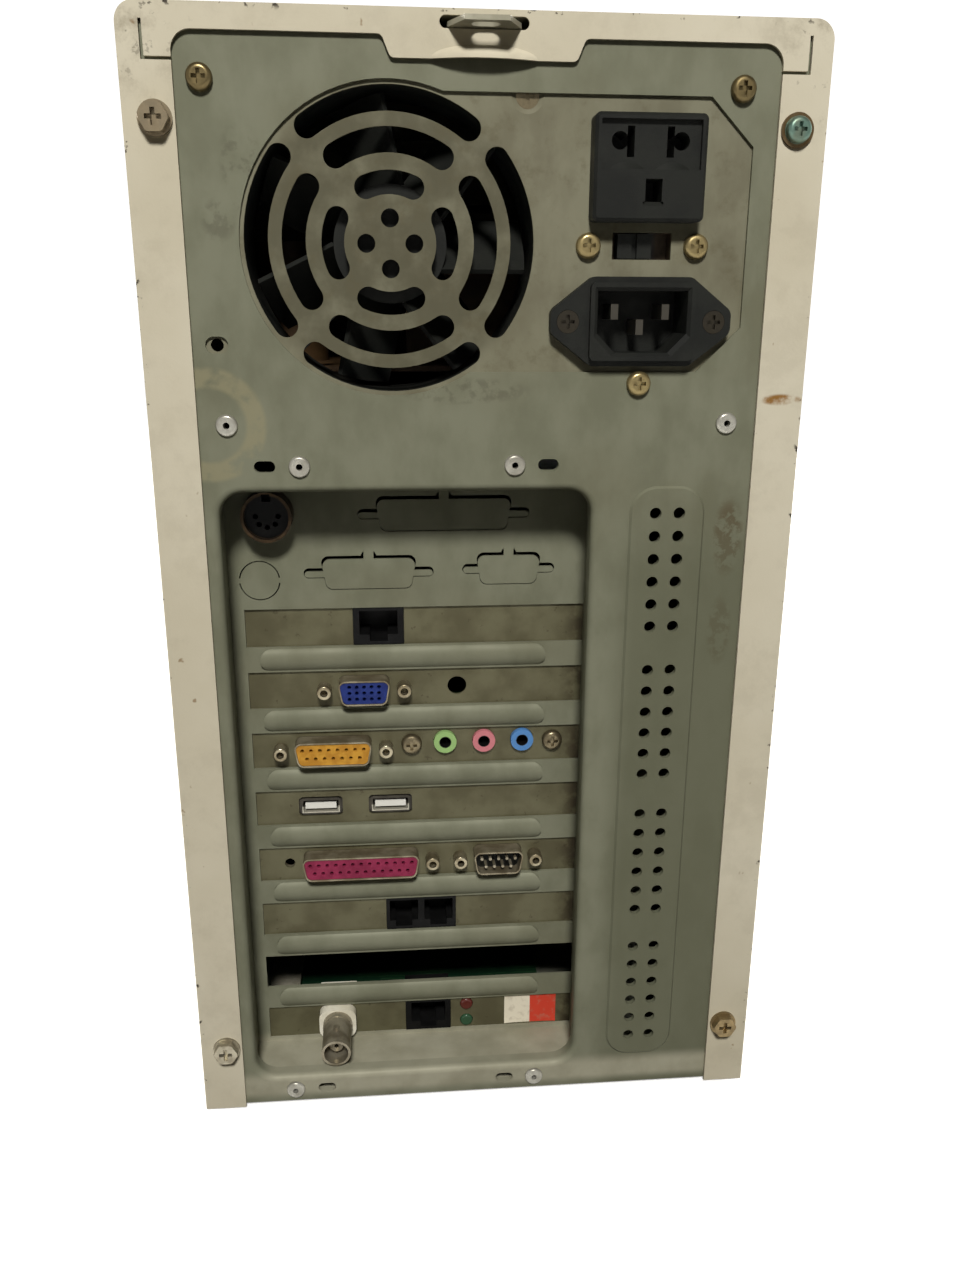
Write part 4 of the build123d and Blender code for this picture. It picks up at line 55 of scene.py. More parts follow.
# %% Places on the rear face
supply_low, supply_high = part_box("psu_case")
PANEL_T, HOLE_INSET = 1.0 * MM, 6.0 * MM
ORIGIN = Vector((supply_low[0] + HOLE_INSET, supply_low[1] - PANEL_T, supply_high[2] - HOLE_INSET))
SLOTS, LOWEST_SLOT, SLOT_PITCH = 8, 16.5, 20.32


def beside(x):
    """X in metres of a place that lies x millimetres right of the screw hole."""
    return ORIGIN.x + x * MM


def spot(x, drop):
    """X and Z in metres of a place that lies x right of the screw hole and drop below it."""
    return beside(x), ORIGIN.z - drop * MM


def depth(value):
    """Y in metres of a place that lies behind the rear panel's face."""
    return ORIGIN.y + value * MM


def slot_height(number):
    """Z in metres of a card slot's centre, counted from the top."""
    return (LOWEST_SLOT + (SLOTS - number) * SLOT_PITCH) * MM


print("screw hole at", [round(v, 5) for v in ORIGIN])

# %% [markdown]
# The camera was solved from known sizes on the rear face: the supply's 138 mm screw spacing and the
# 20.32 mm slot pitch. Placed by eye, it would put every mark a little off. A rotation vector turns the
# world into camera axes, and the focal length in pixels becomes millimetres on a 36 mm sensor laid along
# the image's 1280 pixel side.

# %% Camera
TURN = Vector((0.301, -0.089, -0.009))
EYE = Vector((43.13, -301.08, -53.56))
FOCAL, IMAGE_SIDE, SENSOR = 1078.38, 1280, 36.0
facing_rear = Matrix(((1, 0, 0), (0, 0, -1), (0, 1, 0)))
to_camera = Matrix.Rotation(TURN.length, 3, TURN.normalized()) @ facing_rear
right, down, forward = to_camera
eye = ORIGIN + EYE * MM
camera_data = bpy.data.cameras.new("camera")
camera_data.sensor_width = SENSOR
camera_data.lens = FOCAL / IMAGE_SIDE * SENSOR
camera_data.clip_start = 10 * MM
camera = bpy.data.objects.new("camera", camera_data)
camera.matrix_world = Matrix.Translation(eye) @ Matrix((right, -down, -forward)).transposed().to_4x4()
bpy.context.collection.objects.link(camera)
bpy.context.scene.camera = camera
print("camera at", [round(v, 3) for v in eye], "lens", round(camera_data.lens, 2))

# %% [markdown]
# Shader arithmetic is easier to read as Python than as a list of nodes. This class wraps one socket: its
# operators add Math nodes, each with its reflected form, so that `1 - mask` works with the number on the
# left. `make` adds any other node.


# %% Shader sockets as values
class Shade:
    """A socket of a node tree that can be added, multiplied and compared like a number."""

    def __init__(self, tree, socket=None):
        self.tree = tree
        self.socket = socket

    def make(self, kind, settings, inputs, output=0):
        """A new node of a kind: settings first, then values or links of its sockets by name or place."""
        node = self.tree.nodes.new(kind)
        for key, value in settings.items():
            setattr(node, key, value)
        for key, value in inputs.items():
            if isinstance(value, Shade):
                self.tree.links.new(value.socket, node.inputs[key])
            else:
                node.inputs[key].default_value = value
        return Shade(self.tree, node.outputs[output])

    def other(self, output):
        """Another output of the node that this socket belongs to."""
        return Shade(self.tree, self.socket.node.outputs[output])

    def math(self, operation, first, second):
        """A Math node on two values."""
        return self.make("ShaderNodeMath", {"operation": operation}, {0: first, 1: second})

    def __add__(self, other):
        return self.math("ADD", self, other)

    def __radd__(self, other):
        return self.math("ADD", other, self)

    def __sub__(self, other):
        return self.math("SUBTRACT", self, other)

    def __rsub__(self, other):
        return self.math("SUBTRACT", other, self)

    def __mul__(self, other):
        return self.math("MULTIPLY", self, other)

    def __rmul__(self, other):
        return self.math("MULTIPLY", other, self)

    def __truediv__(self, other):
        return self.math("DIVIDE", self, other)

    def __rtruediv__(self, other):
        return self.math("DIVIDE", other, self)

    def __pow__(self, other):
        return self.math("POWER", self, other)

    def __rpow__(self, other):
        return self.math("POWER", other, self)

    def __abs__(self):
        return self.math("ABSOLUTE", self, 0.0)

    def least(self, other):
        return self.math("MINIMUM", self, other)

    def most(self, other):
        return self.math("MAXIMUM", self, other)

    def rise(self, low, high):
        """0 below low, 1 above high, smooth between; low above high makes it fall."""
        return self.make("ShaderNodeMapRange", {"interpolation_type": "SMOOTHSTEP"},
                         {"Value": self, "From Min": low, "From Max": high})

    def noise(self, scale, detail=4.0, roughness=0.55):
        """Noise over this vector, with about `scale` lumps to the metre."""
        return self.make("ShaderNodeTexNoise", {}, {"Vector": self, "Scale": scale, "Detail": detail,
                                                    "Roughness": roughness})

    def stretched(self, x, y, z):
        """This vector with each axis scaled, so that a pattern on it is drawn out."""
        return self.make("ShaderNodeVectorMath", {"operation": "MULTIPLY"}, {0: self, 1: (x, y, z)})

    def axes(self):
        """The X, Y and Z of this vector as three values."""
        x = self.make("ShaderNodeSeparateXYZ", {}, {0: self})
        return x, x.other(1), x.other(2)

    def mix(self, first, second):
        """A colour that goes from first to second as this value goes from 0 to 1."""
        return self.make("ShaderNodeMix", {"data_type": "RGBA"}, {0: self, 6: first, 7: second}, 2)


print("shader helper ready")

# %% [markdown]
# Every finish starts the same way: a Principled shader, and the object's own coordinates, which for a
# CAD node are metres in the part's frame. `rgb` turns the screen colours read off the photograph into the
# linear values that the shader wants.


# %% A plain start for each finish
def rgb(red, green, blue):
    """Linear colour of a screen colour from 0 to 255."""
    screen = np.array([red, green, blue]) / 255.0
    linear = np.where(screen <= 0.04045, screen / 12.92, ((screen + 0.055) / 1.055) ** 2.4)
    return (*(float(v) for v in linear), 1.0)


def start(name, roughness, metallic=0.0, specular=0.3):
    """A new material with its shader and the object's coordinates."""
    material = bpy.data.materials.new(name)
    material.use_nodes = True
    shader = material.node_tree.nodes["Principled BSDF"]
    shader.inputs["Roughness"].default_value = roughness
    shader.inputs["Metallic"].default_value = metallic
    shader.inputs["Specular IOR Level"].default_value = specular
    place = Shade(material.node_tree).make("ShaderNodeTexCoord", {}, {}, "Object")
    return material, shader, place


def connect(shader, **links):
    """Links values to the shader's sockets; an underscore in a name stands for a space."""
    for key, value in links.items():
        value.tree.links.new(value.socket, shader.inputs[key.replace("_", " ")])


def bumped(shader, height, distance, strength=0.4):
    """Feeds a height to the shader's normal."""
    bump = height.make("ShaderNodeBump", {}, {"Height": height, "Distance": distance, "Strength": strength})
    connect(shader, Normal=bump)


print("cream paint is", [round(v, 3) for v in rgb(205, 198, 178)[:3]])

# %% [markdown]
# A mark on the rear face needs a mask: a value that is 1 on the mark and 0 elsewhere. It could be painted
# on a picture, but a distance worked out from the coordinates needs no picture and has no pixels.


# %% Masks on the rear face
def reach(place, x, z):
    """Distance over the rear face from a place on it: the root of the squared steps in X and Z."""
    px, _, pz = place.axes()
    return ((px - x) ** 2.0 + (pz - z) ** 2.0) ** 0.5


def near(place, x, drop, wide, high):
    """1 at a place of the rear face, falling to 0 at an ellipse round it; all sizes in millimetres."""
    px, _, pz = place.axes()
    x, z = spot(x, drop)
    across, up = (px - x) / (wide * MM), (pz - z) / (high * MM)
    return (across * across + up * up).rise(1.0, 0.3)


print("masks ready")

# %% [markdown]
# The cover's paint has yellowed. Dirt has gathered in cloudy patches, thickest at the upper corners, and
# small chips show dark metal along the folded edges. One rusty run sits on the right flange, and brown
# specks are scattered near the rear. Each mark is noise cut down by a mask on position, laid over the
# marks before it as coats of paint are, so that each can be changed alone.

# %% Cover paint
_, (HALF_W, _, TOP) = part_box("cover")
RUST_RUN = (154.6, 78.5, 6.8, 1.8)


def cover_paint():
    """Yellowed cream paint, then grime, specks, chips and the rusty run."""
    material, shader, place = start("cover paint", 0.7, 0.0, 0.06)
    x, y, z = place.axes()
    clouds = place.noise(14.0, 6.0)
    base = clouds.rise(0.3, 0.7).mix(rgb(206, 199, 179), rgb(193, 185, 163))
    rear = y.rise(depth(14), depth(0))
    corner = abs(x).rise(HALF_W - 24 * MM, HALF_W - 2 * MM) * z.rise(TOP - 34 * MM, TOP - 2 * MM) * rear
    grime = place.noise(70.0, 8.0, 0.7).rise(0.47, 0.66) * (corner * 0.4 + 0.1)
    dirty = grime.mix(base, rgb(112, 100, 78))
    specks = place.noise(170.0, 3.0).rise(0.69, 0.74) * rear
    specked = (specks * 0.7).mix(dirty, rgb(124, 96, 60))
    side = abs(x).rise(HALF_W - 1.6 * MM, HALF_W - 0.3 * MM)
    top = z.rise(TOP - 1.8 * MM, TOP - 0.2 * MM)
    edge = (side.most(top) * y.rise(depth(4), depth(0))).most(side * top * 0.8).most(corner * 0.5)
    chips = place.noise(420.0, 4.0).rise(0.64, 0.69) * edge
    chipped = chips.mix(specked, rgb(66, 60, 52))
    flange = y.rise(depth(2), depth(1))
    run = near(place, *RUST_RUN) * place.noise(260.0, 6.0).rise(0.34, 0.62) * flange
    connect(shader, Base_Color=run.mix(chipped, rgb(140, 102, 54)), Roughness=clouds * 0.2 + 0.62)
    bumped(shader, place.noise(1500.0, 2.0), 0.1 * MM, 0.25)
    return material


cover_finish = cover_paint()
print("made", cover_finish.name)

# %% [markdown]
# The rear panel is zinc-coated sheet gone dull and slightly green. A round sticker has left a crescent of
# old glue beside the left rivet, a label has left brown scraps to the right of the vents, and soot has
# settled round the fan. Inside the case the same sheet has stayed cleaner. Painted shade darkens the
# panel's lower right, and a painted reflection of the white floor lightens its bottom strip. Each mark is
# listed with its place and half its width and height in millimetres.

# %% Marks on the rear panel
CLEAN = rgb(148, 148, 136)
GLUE, GLUE_R = spot(-3.4, 85.0), 12.6 * MM
SCRAPS = ((142.6, 118.0, 5.2, 13.0), (142.0, 146.0, 4.2, 12.0))
SOOT = ((2.5, 33.0, 5.0, 6.0), (9.0, 20.0, 6.0, 12.0), (66.0, 76.0, 20.0, 4.0))


def panel_stains(place, plain):
    """Marks of the rear panel, painted shade and a painted floor reflection, each laid over the colour
    before.
    """
    base = plain
    glue = abs(reach(place, *GLUE) - GLUE_R).rise(3.4 * MM, 1.8 * MM)
    glue = glue * place.noise(120.0).rise(0.36, 0.52)
    base = (glue * 0.6).mix(base, rgb(142, 136, 108))
    torn = place.noise(260.0, 6.0, 0.7).rise(0.44, 0.54)
    for scrap in SCRAPS:
        base = (near(place, *scrap) * torn * 0.9).mix(base, rgb(88, 77, 58))
    for patch in SOOT:
        soot = near(place, *patch) * place.noise(330.0, 5.0).rise(0.45, 0.62)
        base = (soot * 0.35).mix(base, rgb(74, 70, 58))
    x, y, z = place.axes()
    # Painted shade: the panel's lower right is darkened where the light's sheen on the zinc falls off.
    shaded_right = x.rise(36 * MM, 46 * MM) * z.rise(215 * MM, 170 * MM)
    base = (shaded_right * 0.75).mix(base, rgb(93, 94, 76))
    # Painted reflection: the bottom strip and the ledge behind it are lightened, in mottled tones, where the
    # zinc mirrors the white floor.
    ledge = z.rise(14 * MM, 9 * MM) * y.rise(depth(1.0), depth(3.0)).most(z.rise(2 * MM, 5.5 * MM))
    dust_and_floor_sheen = place.noise(60.0, 6.0).rise(0.3, 0.7).mix(rgb(160, 157, 138), rgb(138, 135, 116))
    inside = y.rise(depth(24), depth(30))
    return inside.mix(ledge.mix(base, dust_and_floor_sheen), (inside * 0.6).mix(plain, CLEAN))


print("panel marks:", len(SCRAPS), "scraps and", len(SOOT), "soot patches")

# %% [markdown]
# The supply's plate is the same kind of sheet with other marks. Both finishes therefore share one function
# for the zinc's spangle and film of dirt, which is handed the function that lays its own marks on top.

# %% Zinc sheet
FAN_MIDDLE = spot(46.4, 38.2)


def supply_stains(place, plain):
    """Dust on the grille's bars, thickest over the fan, and brown dirt in patches on the plate."""
    dust = reach(place, *FAN_MIDDLE).rise(39 * MM, 33 * MM) * place.noise(90.0, 5.0).rise(0.2, 0.6)
    dust_and_floor_sheen = (dust * 0.8).mix(plain, rgb(80, 77, 61))
    dirt = place.noise(110.0, 8.0, 0.7).rise(0.5, 0.68)
    inside = place.axes()[1].rise(depth(3), depth(6))
    return inside.mix((dirt * 0.45).mix(dust_and_floor_sheen, rgb(90, 84, 64)), (inside * 0.6).mix(plain, CLEAN))


def zinc_sheet(name, colour, shade, stains):
    """Dull zinc: spangle between two tones, a brown film over it, then the marks that `stains` lays."""
    material, shader, place = start(name, 0.5, 0.05, 0.08)
    spangle = place.stretched(1.0, 1.0, 0.6).noise(90.0, 6.0)
    base = spangle.rise(0.35, 0.68).mix(colour, shade)
    film = place.noise(22.0, 5.0).rise(0.48, 0.75) * 0.4
    base = stains(place, film.mix(base, rgb(104, 101, 81)))
    connect(shader, Base_Color=base, Roughness=spangle * 0.25 + 0.36)
    bumped(shader, place.noise(900.0, 3.0), 0.1 * MM, 0.2)
    return material


panel_finish = zinc_sheet("panel zinc", rgb(121, 122, 104), rgb(109, 110, 92), panel_stains)
supply_finish = zinc_sheet("supply zinc", rgb(124, 122, 103), rgb(109, 106, 88), supply_stains)
print("made", panel_finish.name, "and", supply_finish.name)

# %% [markdown]
# Port shells, posts, rivets and the tongue are small and plain. A flat colour would make them look like
# toys, and a detailed one would not show, so they share a finish that drifts between two tones and whose
# gloss drifts with it.


# %% Plain small metals
def mottled(name, colour, shade, roughness, metallic=0.0, scale=60.0, bump=0.0, specular=0.3):
    """A finish whose colour drifts between two shades, with an uneven gloss."""
    material, shader, place = start(name, roughness, metallic, specular)
    drift = place.noise(scale).rise(0.35, 0.65)
    connect(shader, Base_Color=drift.mix(colour, shade), Roughness=drift * 0.12 + (roughness - 0.06))
    if bump:
        bumped(shader, place.noise(scale * 30, 2.0), bump)
    return material


shell_finish = mottled("port shell", rgb(138, 130, 110), rgb(104, 94, 74), 0.36, 0.5, 160.0)
post_finish = mottled("jack post", rgb(158, 150, 128), rgb(116, 106, 84), 0.28, 0.75, 160.0)
rivet_finish = mottled("rivet", rgb(172, 170, 160), rgb(140, 137, 126), 0.32, 0.5, 160.0)
standoff_finish = mottled("standoff brass", rgb(200, 172, 104), rgb(170, 140, 80), 0.35, 0.8, 90.0)
# Painted light: the tongue's zinc is lighter than the panel's, for the light it shows under the cover's lip.
lit_tongue_finish = mottled("lit tongue zinc", rgb(164, 160, 142), rgb(134, 130, 112), 0.4, 0.2, 120.0)
aluminium_finish = mottled("bare aluminium", rgb(198, 200, 202), rgb(178, 180, 182), 0.38, 0.8, 40.0)
print("made plain small metals")

# %% [markdown]
# The card brackets are tin-plated and have browned with handling. Dirt lies where they meet the recess'
# right wall: a ramp on X would look like a painted stripe, so noise breaks it up.

# %% Card brackets
BRACKET_DIRT = (97.0, 104.0)


def bracket_tin():
    """Tin gone brown, with darker dirt where the brackets meet the recess' right wall."""
    material, shader, place = start("bracket tin", 0.45, 0.15, 0.2)
    x, _, _ = place.axes()
    drift = place.noise(70.0).rise(0.35, 0.65)
    dirt = x.rise(*(beside(end) for end in BRACKET_DIRT)) * place.noise(200.0, 5.0).rise(0.35, 0.6)
    specks = place.noise(420.0, 3.0).rise(0.66, 0.72)
    base = (dirt * 0.8).mix(drift.mix(rgb(96, 93, 71), rgb(81, 77, 57)), rgb(52, 45, 33))
    connect(shader, Base_Color=(specks * 0.5).mix(base, rgb(58, 50, 36)), Roughness=drift * 0.15 + 0.38)
    return material


bracket_finish = bracket_tin()
print("made", bracket_finish.name)

# %% [markdown]
# Screws come from many boxes, so each one has its own tone. A finish for each would need a node for each;
# instead a list of places and tones is laid over one common zinc.

# %% Screws of the supply and the cards
BRONZE, BRASS, DARK = rgb(100, 87, 56), rgb(138, 123, 84), rgb(30, 28, 26)
SCREW_TONES = ((0.0, 0.0, BRONZE), (138.0, 0.0, BRONZE), (114.0, 74.0, BRASS),
               (93.5, 57.7, DARK), (133.5, 57.7, DARK), (98.9, 38.3, BRASS), (128.1, 38.3, BRASS))
SCREW_REACH = 6.0


def screw_zinc():
    """Brownish zinc, with the tone of each listed screw laid round its place."""
    material, shader, place = start("screw zinc", 0.3, 0.75)
    drift = place.noise(300.0).rise(0.35, 0.65)
    colour = drift.mix(rgb(114, 104, 82), rgb(86, 78, 60))
    for x, drop, tone in SCREW_TONES:
        colour = (near(place, x, drop, SCREW_REACH, SCREW_REACH) * 0.85).mix(colour, tone)
    connect(shader, Base_Color=colour, Roughness=drift * 0.2 + 0.28)
    return material


screw_finish = screw_zinc()
print("made", screw_finish.name, "with", len(SCREW_TONES), "tones")

# %% [markdown]
# The cover's four screws are told apart by the quarter of the rear face that they sit in. The one at the
# upper right is another kind: a pan head on a brown washer, parted at the head's radius. The head's greenish
# tint is a painted highlight.

# %% Screws of the cover
COVER_SCREW_IN, COVER_SCREW_DROP = 8.0 * MM, 26.1 * MM
ODD_SCREW = (HALF_W - COVER_SCREW_IN, TOP - COVER_SCREW_DROP)
SCREW_HEAD_R, WASHER_R = 3.3 * MM, 3.5 * MM
MID_HEIGHT = 150 * MM


def cover_screws():
    """A tone for each quarter of the rear face, worn in patches."""
    material, shader, place = start("cover screw", 0.3, 0.7)
    x, _, z = place.axes()
    drift = place.noise(300.0).rise(0.35, 0.65)
    left, upper = x.rise(1 * MM, -1 * MM), z.rise(MID_HEIGHT - 1 * MM, MID_HEIGHT + 1 * MM)
    # Painted highlight: the odd screw's head is tinted greenish for the bluish-green highlight on it.
    odd = reach(place, *ODD_SCREW).rise(SCREW_HEAD_R, WASHER_R).mix(rgb(104, 132, 120), rgb(92, 74, 48))
    above = left.mix(odd, rgb(134, 122, 100))
    below = left.mix(rgb(138, 120, 86), rgb(164, 158, 140))
    worn = (drift * 0.5).mix(upper.mix(below, above), rgb(90, 78, 58))
    connect(shader, Base_Color=worn, Roughness=drift * 0.2 + 0.28)
    return material


cover_screw_finish = cover_screws()
print("made", cover_screw_finish.name, "with the odd one at", [round(v, 4) for v in ODD_SCREW])

# %% [markdown]
# Nickel covers the coaxial socket and the pins. The socket's barrel holds a pale insulator in the same
# solid, which a mask on the barrel's axis picks out; the mains pins above the recess are made darker.

# %% Contacts
COAX = (beside(23.4), slot_height(8))
RECESS_TOP = 200.0 * MM


def nickel():
    """Nickel on the coaxial socket and pins: pale insulator in the barrel, darker mains pins."""
    material, shader, place = start("contact nickel", 0.3, 0.5)
    _, y, z = place.axes()
    core = reach(place, *COAX).rise(2.6 * MM, 2.3 * MM) * y.rise(depth(7), depth(6))
    tone = place.noise(160.0).rise(0.35, 0.65).mix(rgb(152, 145, 127), rgb(114, 106, 88))
    darker_pins = z.rise(RECESS_TOP, RECESS_TOP + 10 * MM).mix(tone, rgb(70, 67, 60))
    connect(shader, Base_Color=core.mix(darker_pins, rgb(222, 216, 198)), Metallic=0.5 - core * 0.5)
    return material


nickel_finish = nickel()
print("made", nickel_finish.name)

# %% [markdown]
# Plastics are moulded in one colour, so most need only a slow drift and a fine texture. The ports follow
# the colour code of their day: blue for video, orange for games, magenta for printing.

# %% Plain plastics
GRAIN = 0.1 * MM
black_finish = mottled("black plastic", rgb(33, 34, 31), rgb(24, 25, 23), 0.5, 0.0, 80.0, GRAIN, 0.12)
jack_black_finish = mottled("jack black", rgb(20, 20, 20), rgb(13, 13, 13), 0.45, 0.0, 120.0, 0.0, 0.08)
blue_finish = mottled("blue plastic", rgb(32, 50, 116), rgb(25, 38, 94), 0.45, 0.0, 300.0, 0.0, 0.2)
orange_finish = mottled("orange plastic", rgb(200, 148, 56), rgb(176, 124, 44), 0.45, 0.0, 300.0, 0.0, 0.2)
magenta_finish = mottled("magenta plastic", rgb(140, 42, 74), rgb(119, 34, 61), 0.45, 0.0, 300.0, 0.0, 0.2)
white_finish = mottled("white plastic", rgb(226, 222, 206), rgb(206, 200, 180), 0.45, 0.0, 120.0)
beige_finish = mottled("beige plastic", rgb(210, 203, 183), rgb(200, 192, 170), 0.65, 0.0, 16.0, GRAIN, 0.1)
rubber_finish = mottled("foot rubber", rgb(44, 44, 44), rgb(34, 34, 34), 0.7, 0.0, 120.0, GRAIN)
# Painted shade: the board's sockets are ivory greyed down for the dim inside of the case.
shaded_socket_finish = mottled("shaded ivory", rgb(148, 144, 130), rgb(120, 116, 102), 0.5, 0.0, 120.0, 0.0, 0.15)
ceramic_finish = mottled("ceramic", rgb(150, 142, 132), rgb(134, 126, 116), 0.55, 0.0, 120.0)
cable_finish = mottled("cable grey", rgb(176, 176, 172), rgb(160, 160, 156), 0.5, 0.0, 60.0)
print("made plain plastics")

# %% [markdown]
# The three audio jacks share one node, so their colours change at steps in X that lie in the gaps between
# them. Their bores get painted shade in black: the distance to the nearest jack's axis tells what lies in
# a bore.

# %% Audio jacks
JACKS, JACK_RISE, JACK_BORE_R = (61.2, 73.7, 86.1), 1.4 * MM, 1.95 * MM
JACK_GAPS = (67.4, 79.9)
STEP = 0.2 * MM


def jack_plastic():
    """Audio jacks: green, pink and blue from left to right, with painted shade in black inside each jack's
    hole.
    """
    material, shader, place = start("jack plastic", 0.42)
    x, _, z = place.axes()
    first, second = (beside(gap) for gap in JACK_GAPS)
    drift = place.noise(400.0)
    green_pink = x.rise(first - STEP, first + STEP).mix(rgb(150, 188, 116), rgb(206, 122, 130))
    colour = x.rise(second - STEP, second + STEP).mix(green_pink, rgb(76, 134, 196))
    worn = (drift * 0.25).mix(colour, rgb(110, 104, 96))
    across = abs(x - beside(JACKS[0]))
    for jack in JACKS[1:]:
        across = across.least(abs(x - beside(jack)))
    up = z - slot_height(3) - JACK_RISE
    # Painted shade: black inside each jack's bore.
    bore_shade = ((across * across + up * up) ** 0.5).rise(JACK_BORE_R + 0.1 * MM, JACK_BORE_R - 0.1 * MM)
    connect(shader, Base_Color=bore_shade.mix(worn, rgb(16, 16, 16)), Roughness=drift * 0.2 + 0.32)
    return material


jack_finish = jack_plastic()
print("made", jack_finish.name, "for", len(JACKS), "jacks")

# %% [markdown]
# Two small lamps sit at the rear beside the lowest card and two at the front. They are unlit, so they get
# dull, soiled colours and no glow of their own. Steps in Y, Z and X tell the four apart.

# %% Lamps of the object
LAMP_MIDDLE = -28.0 * MM


def lamp_plastic():
    """Rear lamps: dark red above and green below; the front pair is green and amber."""
    material, shader, place = start("lamp plastic", 0.18)
    x, y, z = place.axes()
    drift = place.noise(500.0)
    rear = z.rise(slot_height(8) - STEP, slot_height(8) + STEP).mix(rgb(40, 76, 52), rgb(88, 36, 30))
    front = x.rise(LAMP_MIDDLE - STEP, LAMP_MIDDLE + STEP).mix(rgb(70, 140, 60), rgb(200, 130, 40))
    colour = y.rise(0.0, 10 * MM).mix(rear, front)
    connect(shader, Base_Color=(drift * 0.2).mix(colour, rgb(60, 52, 44)), Roughness=drift * 0.1 + 0.13)
    return material


lamp_finish = lamp_plastic()
print("made", lamp_finish.name)

# %% [markdown]
# Some pieces carry two materials in one solid. The keyboard socket has a brown metal rim round black
# plastic, and the voltage switch has a brown resin base round a black slider. The faces could be given two
# materials by hand, but a mask on position still holds when the solid is made anew.

# %% Keyboard socket and voltage switch
KEYBOARD, RIM_R, RIM_DEPTH = spot(8.9, 113.0), 6.5 * MM, 24.5
SWITCH_X = beside(113.5)


def dark_brown_rim():
    """Keyboard socket: black plastic inside the rim's radius, dark brown metal outside it."""
    material, shader, place = start("keyboard socket", 0.4, 0.0, 0.06)
    _, y, _ = place.axes()
    rim = reach(place, *KEYBOARD).rise(RIM_R - 0.1 * MM, RIM_R + 0.1 * MM)
    rim = rim * y.rise(depth(RIM_DEPTH + 0.1), depth(RIM_DEPTH - 0.1))
    rim_brown = place.noise(330.0).rise(0.35, 0.65).mix(rgb(62, 49, 34), rgb(40, 32, 24))
    dark = place.noise(200.0).rise(0.3, 0.7).mix(rgb(15, 15, 14), rgb(9, 9, 9))
    connect(shader, Base_Color=rim.mix(dark, rim_brown), Metallic=rim * 0.3)
    return material


def switch_resin():
    """Voltage switch: brown resin at the ends of its window, black round the slider."""
    material, shader, place = start("switch resin", 0.45, 0.0, 0.2)
    x, _, _ = place.axes()
    end = abs(x - SWITCH_X).rise(3.5 * MM, 5.5 * MM)
    resin = place.noise(300.0).rise(0.35, 0.65).mix(rgb(74, 62, 48), rgb(56, 46, 34))
    connect(shader, Base_Color=end.mix(rgb(30, 30, 28), resin), Roughness=end * 0.1 + 0.4)
    return material


keyboard_finish, selector_finish = dark_brown_rim(), switch_resin()
print("made", keyboard_finish.name, "and", selector_finish.name)

# %% [markdown]
# A USB socket holds a white tongue in a steel shell. The shell is darkened as painted shade, and the lower
# edge of its mouth is lightened as a painted highlight. Both sockets are drawn at once by measuring from
# the nearer one's middle.

# %% USB sockets
USB_MIDDLES = (20.6, 43.2)
USB_MOUTH, USB_TONGUE = (5.7 * MM, 2.0 * MM), (5.0 * MM, 1.0 * MM)


def usb_steel():
    """Steel darkened as painted shade, a painted highlight round the lower half of the mouth, the white
    tongue over it.
    """
    material, shader, place = start("usb socket", 0.35)
    x, _, z = place.axes()
    off = z - slot_height(4)
    across = abs(x - beside(USB_MIDDLES[0])).least(abs(x - beside(USB_MIDDLES[1])))
    tongue = abs(off).rise(USB_TONGUE[1] + 0.15 * MM, USB_TONGUE[1] + 0.05 * MM)
    tongue = tongue * across.rise(USB_TONGUE[0] + 0.2 * MM, USB_TONGUE[0] + 0.1 * MM)
    edge = (across - USB_MOUTH[0]).most(abs(off) - USB_MOUTH[1])
    # Painted highlight along the lower edge of the mouth, and painted shade on the rest of the shell.
    bright = edge.rise(0.4 * MM, 0.3 * MM) * off.rise(0.2 * MM, -0.4 * MM)
    shaded_shell = place.noise(200.0).rise(0.35, 0.65).mix(rgb(58, 54, 46), rgb(40, 37, 31))
    tin = bright.mix(shaded_shell, rgb(168, 164, 150))
    connect(shader, Base_Color=tongue.mix(tin, rgb(224, 222, 214)), Metallic=0.4 - tongue * 0.4)
    return material


usb_finish = usb_steel()
print("made", usb_finish.name)

# %% [markdown]
# A drive has a moulded front on a steel body. The front is as thick as its face plate, so the step between
# the two is measured back from the front of the drive's box.

# %% Drives
FACEPLATE_T = 4.0 * MM


def drive_steel(name, node):
    """Steel behind the face plate and beige plastic in front of it."""
    material, shader, place = start(name, 0.55, 0.0, 0.12)
    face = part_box(node)[1][1] - FACEPLATE_T
    _, y, _ = place.axes()
    moulded = y.rise(face - 0.1 * MM, face + 0.1 * MM)
    drift = place.noise(40.0).rise(0.35, 0.65)
    steel = drift.mix(rgb(154, 155, 152), rgb(132, 133, 130))
    beige = drift.mix(rgb(210, 203, 183), rgb(200, 192, 170))
    connect(shader, Base_Color=moulded.mix(steel, beige), Metallic=0.3 - moulded * 0.3)
    return material


disc_finish = drive_steel("disc drive", "cd_drive")
floppy_finish = drive_steel("floppy drive", "floppy_drive")
print("made", disc_finish.name, "and", floppy_finish.name)

# %% [markdown]
# Circuit boards are green lacquer over copper; here the green is also darkened as painted shade, for the
# dim inside of the case. Thin tracks show as slightly lighter lines. Drawn one by one they would take
# thousands of edges, so a fine wave pattern broken up by noise stands for them. The supply's board is
# plain brown resin paper.


# %% Circuit board
def circuit_board():
    """Dark green, darkened as painted shade, with lighter bands of tracks, in patches."""
    material, shader, place = start("circuit board", 0.35)
    wave = place.make("ShaderNodeTexWave", {"wave_type": "BANDS", "bands_direction": "Y"},
                      {"Vector": place, "Scale": 190.0, "Distortion": 3.0, "Detail": 1.0}, 1)
    tracks = wave.rise(0.62, 0.7) * place.noise(70.0).rise(0.45, 0.55)
    # Painted shade: the lacquer's green is darkened for the dim inside of the case.
    connect(shader, Base_Color=(tracks * 0.5).mix(rgb(21, 50, 33), rgb(48, 84, 50)))
    return material


board_finish = circuit_board()
paper_finish = mottled("resin paper", rgb(92, 70, 44), rgb(72, 54, 34), 0.5, 0.0, 60.0)
print("made", board_finish.name, "and", paper_finish.name)

# %% [markdown]
# Each CAD node names a material slot in the record. The table below matches slots to finishes; a few
# nodes that differ from the rest of their slot have a finish of their own.

